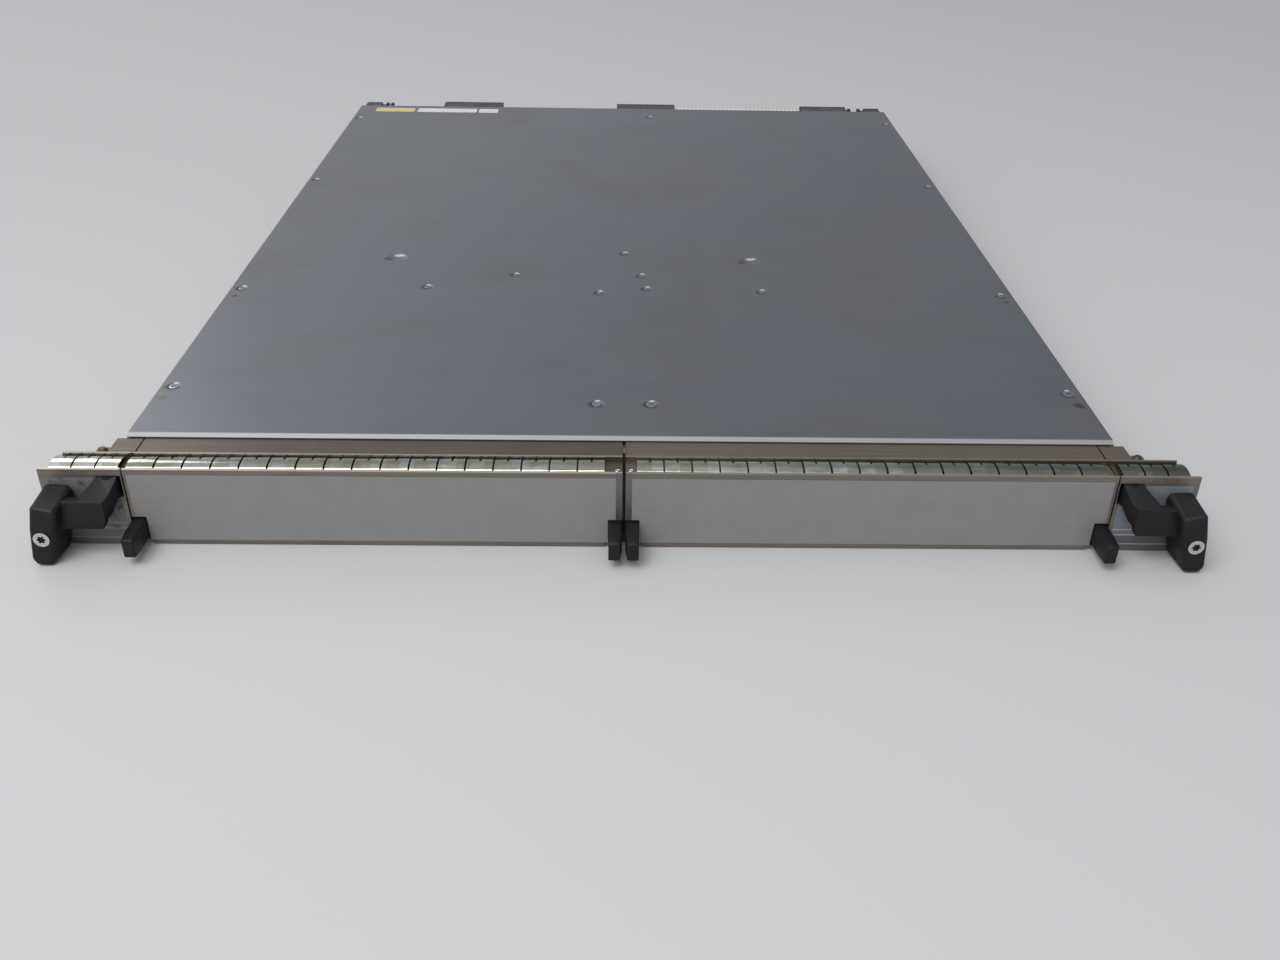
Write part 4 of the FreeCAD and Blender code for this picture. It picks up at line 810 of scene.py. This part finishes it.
def grip_screw(side_name):
    """The button screw in the near face of a grip, which stands for the plain solid."""
    low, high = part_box(f"ejector_screw_{side_name}")
    middle = (low + high) / 2
    radius = (high.x - low.x) / 2

    def away(place):
        """How far a place is from the screw's axis."""
        return math.hypot(place.x - middle.x, place.z - middle.z)

    def on_every_second(corner):
        """Whether a corner stands where the wall between two lobes is pulled in."""
        return math.cos(6 * math.atan2(corner.z - middle.z, corner.x - middle.x)) < -0.1

    fresh()
    bpy.ops.mesh.primitive_cylinder_add(vertices=24, radius=radius, depth=high.y - low.y, location=middle,
                                        rotation=FACING_FRONT)
    screw = applied()
    edit(screw)
    choose_faces(screw, lambda centre, normal: normal.y < -0.9 and centre.y < low.y + 0.2 * MM)
    bpy.ops.mesh.inset(thickness=0.2 * radius)
    bpy.ops.mesh.inset(thickness=0.26 * radius)
    bpy.ops.mesh.select_mode(type="VERT")
    choose_corners(screw, lambda corner: corner.y < low.y + 0.1 * MM and away(corner) < 0.6 * radius
                   and on_every_second(corner))
    bpy.ops.transform.resize(value=(0.66, 1.0, 0.66), center_override=middle)
    bpy.ops.mesh.select_mode(type="FACE")
    choose_faces(screw, lambda centre, normal: normal.y < -0.9 and away(centre) < 0.1 * radius)
    extrude((0, 0.9 * MM, 0))
    fresh()
    screw.data.materials.append(bright_steel)
    screw.data.materials.append(painted_socket_shadow)
    # The sunk socket faces get the near-black finish, a painted shadow.
    for face in screw.data.polygons:
        in_socket = away(face.center) < SOCKET_SHARE * radius
        sunk = low.y + 0.05 * MM < face.center.y < high.y - 0.1 * MM
        face.material_index = 1 if in_socket and sunk else 0
    settle(screw, f"grip_screw_{side_name}", f"lever_{side_name}", "plated_steel")
    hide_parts(f"ejector_screw_{side_name}")


for side_name in SIDES:
    grip_screw(side_name)

# %% [markdown]
# ## The dimpled cover and its screws
# Each cover screw sits in a pressed dimple, and two larger dimples have none. Only their far slopes
# catch the ceiling light, helped by a glint painted there in the cover's finish, and that is most of what
# one sees of them. A dimple is a shallow bowl, so the lowest caps of spheres are cut out of a copy of the
# cover, which then stands for it. One head is modelled with a cross recess and copied into the dimples.

# %% Cap of a sphere
def bowl(x, y, radius, depth, rings):
    """The lowest cap of a sphere, which cuts a bowl of this radius and depth into the cover."""
    sphere = (radius * radius + depth * depth) / (2 * depth)
    fresh()
    bpy.ops.mesh.primitive_uv_sphere_add(segments=32, ring_count=rings, radius=sphere * MM,
                                         location=(x * MM, back(y), COVER_TOP + (sphere - depth) * MM))
    cap = applied()
    edit(cap)
    choose_all()
    bpy.ops.mesh.bisect(plane_co=(0, 0, COVER_TOP + 0.3 * MM), plane_no=(0, 0, 1), clear_outer=True,
                        use_fill=True)
    fresh()
    return cap


# %% Cut the dimples
SCREW_DIMPLE_MARGIN, SCREW_DIMPLE_DEPTH = 1.15, 0.62
PLAIN_DIMPLE_RADIUS, PLAIN_DIMPLE_DEPTH = 5.4, 1.0
bowls = [bowl(x, y, radius + SCREW_DIMPLE_MARGIN, SCREW_DIMPLE_DEPTH, 40) for x, y, radius in COVER_SCREWS]
bowls += [bowl(x, y, PLAIN_DIMPLE_RADIUS, PLAIN_DIMPLE_DEPTH, 90) for x, y in PLAIN_DIMPLES]
cutter = joined(bowls)
cover = clean_copy("top_cover", 1)
carve(cover, cutter)
settle(cover, "dimpled_cover", "card", "cover_sheet", cover_paint, angle=13)
modify(cover, "WEIGHTED_NORMAL", keep_sharp=True)
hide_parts("top_cover")

# %% One cover screw
blue_screw = small_metal("blue plated screw", (0.36, 0.375, 0.40), (0.26, 0.27, 0.29),
                         (900.0, 900.0, 900.0), 0.24, 0.38, 0.3)
RISE = 0.16
FIRST_SLOT_TURN = 0.35


def screw_head():
    """A low screw head of radius 1 with a cross recess, with its middle at the cover's top."""
    fresh()
    bpy.ops.mesh.primitive_cylinder_add(vertices=28, radius=MM, depth=2 * RISE * MM,
                                        location=(0, 0, COVER_TOP))
    head = applied()
    edit(head)
    choose_faces(head, lambda centre, normal: normal.z > 0.9)
    bpy.ops.mesh.inset(thickness=0.16 * MM)
    bpy.ops.transform.translate(value=(0, 0, 0.08 * MM))
    for slot_turn in (FIRST_SLOT_TURN, FIRST_SLOT_TURN + math.pi / 2):
        fresh()
        bpy.ops.mesh.primitive_cube_add(size=1.0, location=(0, 0, COVER_TOP + RISE * MM),
                                        rotation=(0, 0, slot_turn))
        bpy.context.object.scale = (1.25 * MM, 0.3 * MM, 2 * RISE * MM)
        carve(head, applied())
    return head


# %% Screws in their dimples
HEAD_DROP = 0.34
model = screw_head()
heads = []
for index, (screw_x, screw_y, screw_radius) in enumerate(COVER_SCREWS):
    heads.append(copy_of(model))
    bpy.ops.transform.resize(value=(screw_radius, screw_radius, 1.0), center_override=(0, 0, COVER_TOP))
    bpy.ops.transform.rotate(value=1.3 * index, orient_axis="Z", center_override=(0, 0, 0))
    bpy.ops.transform.translate(value=(screw_x * MM, back(screw_y), -HEAD_DROP * MM))
cover_screws = joined(heads)
discard(model)
settle(cover_screws, "cover_screws", "card", "plated_steel", blue_screw)

# %% [markdown]
# ## Stickers and labels
# Three stickers lie near the rear left corner of the cover. They are thin cards with rounded corners,
# and nothing is printed on them but the paler rear field of the first. Each end plate wears an L-shaped
# label round its lever, with nothing on it but a darker band and three thin rules. All share one
# printed stock with soft mottling.

# %% Printed stock
FIELD_FROM, FIELD_TO = 509.6, 510.0


def stock(name, colour, worn_share, roughness, mottle, field=None, bands=()):
    """A printed stock: mottling, another colour over its rear field, and bands at some heights."""
    made, tree, shader = new_material(name)
    skin = use(tree, moulded, Colour=colour, Worn_Colour=tuple(worn_share * part for part in colour),
               Low_Roughness=roughness, High_Roughness=roughness + 0.12, Relief=0.1)
    colour = stain(tree, skin["Colour"], *mottle)
    if field is not None:
        behind = remap(tree, axes(tree)["Y"], back(FIELD_FROM), back(FIELD_TO), 0.0, 1.0)
        colour = blend(tree, behind, colour, field)
    for height, reach, band_colour in bands:
        near = compute(tree, "COMPARE", axes(tree)["Z"], height * MM, reach * MM)
        colour = blend(tree, near, colour, band_colour)
    finish_shader(tree, shader, skin, colour)
    print("finish", name)
    return made


def label_bands(band_colour, rule_colour):
    """A band near the foot of a label and three thin rules across it, as height, reach and colour."""
    return [(5.0, 2.0, band_colour)] + [(height, 0.2, rule_colour) for height in (9.7, 7.3, 3.1)]


# %% Stickers
yellow_card = stock("yellow sticker", (0.62, 0.43, 0.10), 0.93, 0.5, ((0.42, 0.30, 0.10), 260.0, 0.7),
                    field=(0.47, 0.42, 0.30))
white_card = stock("white sticker", (0.56, 0.56, 0.56), 0.93, 0.45, ((0.42, 0.42, 0.43), 300.0, 0.5))
STICKERS = (("sticker_yellow", yellow_card, -180.0, -152.0), ("sticker_white", white_card, -149.7, -107.0),
            ("sticker_small", white_card, -105.4, -91.6))
STICKER_NEAR, STICKER_FAR = 506.5, 516.5
CARD_THICKNESS, CARD_CORNER = 0.08, 1.2
for sticker_name, sticker_finish, left_x, right_x in STICKERS:
    low = Vector((left_x * MM, back(STICKER_NEAR), COVER_TOP))
    high = Vector((right_x * MM, back(STICKER_FAR), COVER_TOP + CARD_THICKNESS * MM))
    card = block(low, high)
    edit(card, "EDGE")
    choose_edges(card, lambda a, b: (a.xy - b.xy).length < 0.001 * MM)
    bpy.ops.mesh.bevel(offset=CARD_CORNER * MM, segments=4, affect="EDGES")
    settle(card, sticker_name, "card", "pale_plastic", sticker_finish, angle=30)

# %% End plate labels
LABELS = {
    "left": stock("mottled grey label", (0.135, 0.135, 0.128), 0.92, 0.3,
                  ((0.03, 0.035, 0.033), 300.0, 1.0),
                  bands=label_bands((0.120, 0.115, 0.110), (0.24, 0.235, 0.225))),
    "right": stock("blue grey label", (0.150, 0.170, 0.198), 0.92, 0.3,
                   ((0.11, 0.125, 0.148), 70.0, 0.6),
                   bands=label_bands((0.10, 0.095, 0.105), (0.40, 0.41, 0.42))),
}
LABEL_X, LABEL_Z = 200.8, 11.8
LABEL_WIDTH, LABEL_HEIGHT = 26.8, 17.6
UPRIGHT_FROM, UPRIGHT_RISE = 196.3, 8.8


def label_card(side_name, side):
    """The label on an end plate: an L round the lever's slot."""
    fresh()
    bpy.ops.mesh.primitive_plane_add(size=1.0, location=at(side * LABEL_X, -0.01, LABEL_Z),
                                     rotation=FACING_FRONT)
    bpy.context.object.scale = (LABEL_WIDTH * MM, LABEL_HEIGHT * MM, 1.0)
    label = applied()
    edit(label, "EDGE")
    choose_all()
    bpy.ops.mesh.bisect(plane_co=(side * UPRIGHT_FROM * MM, 0, 0), plane_no=(1, 0, 0))
    choose_edges(label, lambda a, b: min(a.z, b.z) > 20 * MM and min(abs(a.x), abs(b.x)) > 196 * MM)
    extrude((0, 0, UPRIGHT_RISE * MM))
    modify(label, "SOLIDIFY", thickness=0.05 * MM, offset=1.0)
    settle(label, f"label_{side_name}", "card", "overlay_film", LABELS[side_name])


for side_name, side in SIDES.items():
    label_card(side_name, side)

# %% [markdown]
# ## What shows at the rear edge
# Behind the cover stand the closed tops of the connectors, with a row of shallow pockets, the lids of
# the guide blocks with two posts beside each, and the pale fins of the header. They are blocks whose
# top is divided by cuts, then inset or extruded face by face.

# %% Connector tops
POCKET_PITCH = 2.4
for place_name in ("left", "centre", "right"):
    low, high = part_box(f"rear_connector_{place_name}")
    low = Vector((low.x, back(523.2), high.z - 0.9 * MM))
    high = Vector((high.x, high.y - 0.05 * MM, high.z + 0.25 * MM))
    cap = block(low, high, round((high.x - low.x) / (POCKET_PITCH * MM)))
    choose_faces(cap, lambda centre, normal: normal.z > 0.9 or normal.y > 0.9)
    bpy.ops.mesh.inset(thickness=0.35 * MM, depth=-0.3 * MM, use_individual=True)
    settle(cap, f"connector_top_{place_name}", "card", "connector_plastic", hard_black)

# %% Guide block lids and posts
POST_HALF = 1.3
for side_name, side in SIDES.items():
    left_x, right_x = sorted((side * 190.6, side * 179.2))
    lid = block(at(left_x, 523.4, 30.3), at(right_x, 536.6, 32.2), 2)
    choose_faces(lid, lambda centre, normal: normal.z > 0.9)
    bpy.ops.mesh.inset(thickness=1.2 * MM, depth=-0.4 * MM)
    roll_over(lid, 0.35, 2, 50)
    settle(lid, f"guide_lid_{side_name}", "card", "connector_plastic", hard_black)
    for post_name, post_x in (("a", side * 175.4), ("b", -171.9 if side < 0 else 168.4)):
        post = block(at(post_x - POST_HALF, 532.5, 30.3), at(post_x + POST_HALF, 536.0, 31.4))
        choose_faces(post, lambda centre, normal: normal.z > 0.9)
        extrude((0, 0, 0.9 * MM))
        bpy.ops.transform.resize(value=(0.62, 0.8, 1.0))
        roll_over(post, 0.3, 2, 50)
        settle(post, f"guide_post_{side_name}_{post_name}", "card", "connector_plastic", hard_black)

# %% Header fins
FIN_CUTS = 61
low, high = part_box("ribbed_header")
low = Vector((low.x + MM, back(527.0), high.z - 0.5 * MM))
high = Vector((high.x - MM, back(533.0), high.z + 0.6 * MM))
comb = block(low, high, FIN_CUTS)
fin = (high.x - low.x) / FIN_CUTS
choose_faces(comb, lambda centre, normal: normal.z > 0.9 and int((centre.x - low.x) / fin) % 2 == 0)
extrude((0, 0, 1.7 * MM))
settle(comb, "header_fins", "card", "pale_plastic", natural)

# %% [markdown]
# ## Clips beside the middle seam
# In the bare channel beside the seam, each blank has the curled end of a small spring clip. A disc of
# the wire's section is swept round by a spin.

# %% Curled clips
WIRE_RADIUS = 0.28
CURL_ANGLE = 300


def curled_clip(name, body, x):
    """A small curl of wire standing in the channel."""
    fresh()
    bpy.ops.mesh.primitive_circle_add(vertices=10, radius=WIRE_RADIUS * MM, fill_type="NGON",
                                      location=at(x, 3.2, 31.9), rotation=(0, math.radians(90), 0))
    clip = applied()
    edit(clip)
    choose_all()
    bpy.ops.mesh.spin(steps=14, angle=math.radians(CURL_ANGLE), center=at(x, 3.9, 32.0), axis=(0, 0, 1))
    choose_all()
    bpy.ops.mesh.remove_doubles(threshold=0.001 * MM)
    bpy.ops.mesh.normals_make_consistent(inside=False)
    settle(clip, name, body, "plated_steel", bright_steel, angle=50)


curled_clip("clip_left", "blank_left", -2.4)
curled_clip("clip_right", "blank_right", 2.6)

# %% [markdown]
# ## Floor, world and lamps
# The table is one pale sheet. A soft ceiling panel hangs in front on the left, and a smaller soft box
# behind on the left brightens the cover and the fingers there. The world is a plain room that gives the
# rest: it is brighter on the window side to the left, overhead, and behind the viewer.

# %% Floor
fresh()
bpy.ops.mesh.primitive_plane_add(size=14.0, location=(0.0, 2.0, 0.0))
floor = bpy.context.object
floor.name = "table_top"
table_paint, tree, shader = new_material("table laminate", Roughness=0.7, Specular_IOR_Level=0.2)
shader.inputs["Base Color"].default_value = (0.45, 0.438, 0.444, 1)
floor.data.materials.append(table_paint)
print("floor", floor.name)

# %% World and lamps
world = bpy.data.worlds.new("studio")
bpy.context.scene.world = world
world.use_nodes = True
room = world.node_tree
direction = axes(room, add(room, "ShaderNodeTexCoord").outputs["Generated"])
window_side = remap(room, direction["X"], -0.55, 0.45, 1.0, 0.0, smooth=True)
daylight = blend(room, window_side, (0.37, 0.38, 0.40), (0.70, 0.71, 0.73))
ceiling = remap(room, direction["Z"], 0.5, 0.85, 1.0, 1.6, smooth=True)
daylight = blend(room, 1.0, daylight, ceiling, "MULTIPLY")
near_side = remap(room, direction["Y"], 0.1, -0.6, 1.0, 1.5, smooth=True)
daylight = blend(room, 1.0, daylight, near_side, "MULTIPLY")
feed(room, daylight, room.nodes["Background"].inputs["Color"])
room.nodes["Background"].inputs["Strength"].default_value = 1.0


def panel(name, place, size, power, aim):
    """A soft rectangular lamp that faces a point."""
    lamp = bpy.data.lights.new(name, "AREA")
    lamp.shape = "RECTANGLE"
    lamp.size, lamp.size_y = size
    lamp.energy = power
    holder = bpy.data.objects.new(name, lamp)
    bpy.context.scene.collection.objects.link(holder)
    holder.location = place
    holder.rotation_euler = (Vector(aim) - Vector(place)).to_track_quat("-Z", "Y").to_euler()
    print("lamp", name, power, "W")


panel("ceiling_panel", (-0.45, -0.9, 1.2), (0.9, 0.9), 13.0, (0.0, -0.35, 0.0))
panel("left_soft_box", (-1.25, 1.35, 1.2), (0.7, 0.6), 4.0, (-0.2, -0.3, 0.0))
bpy.context.scene.view_settings.view_transform = "Standard"
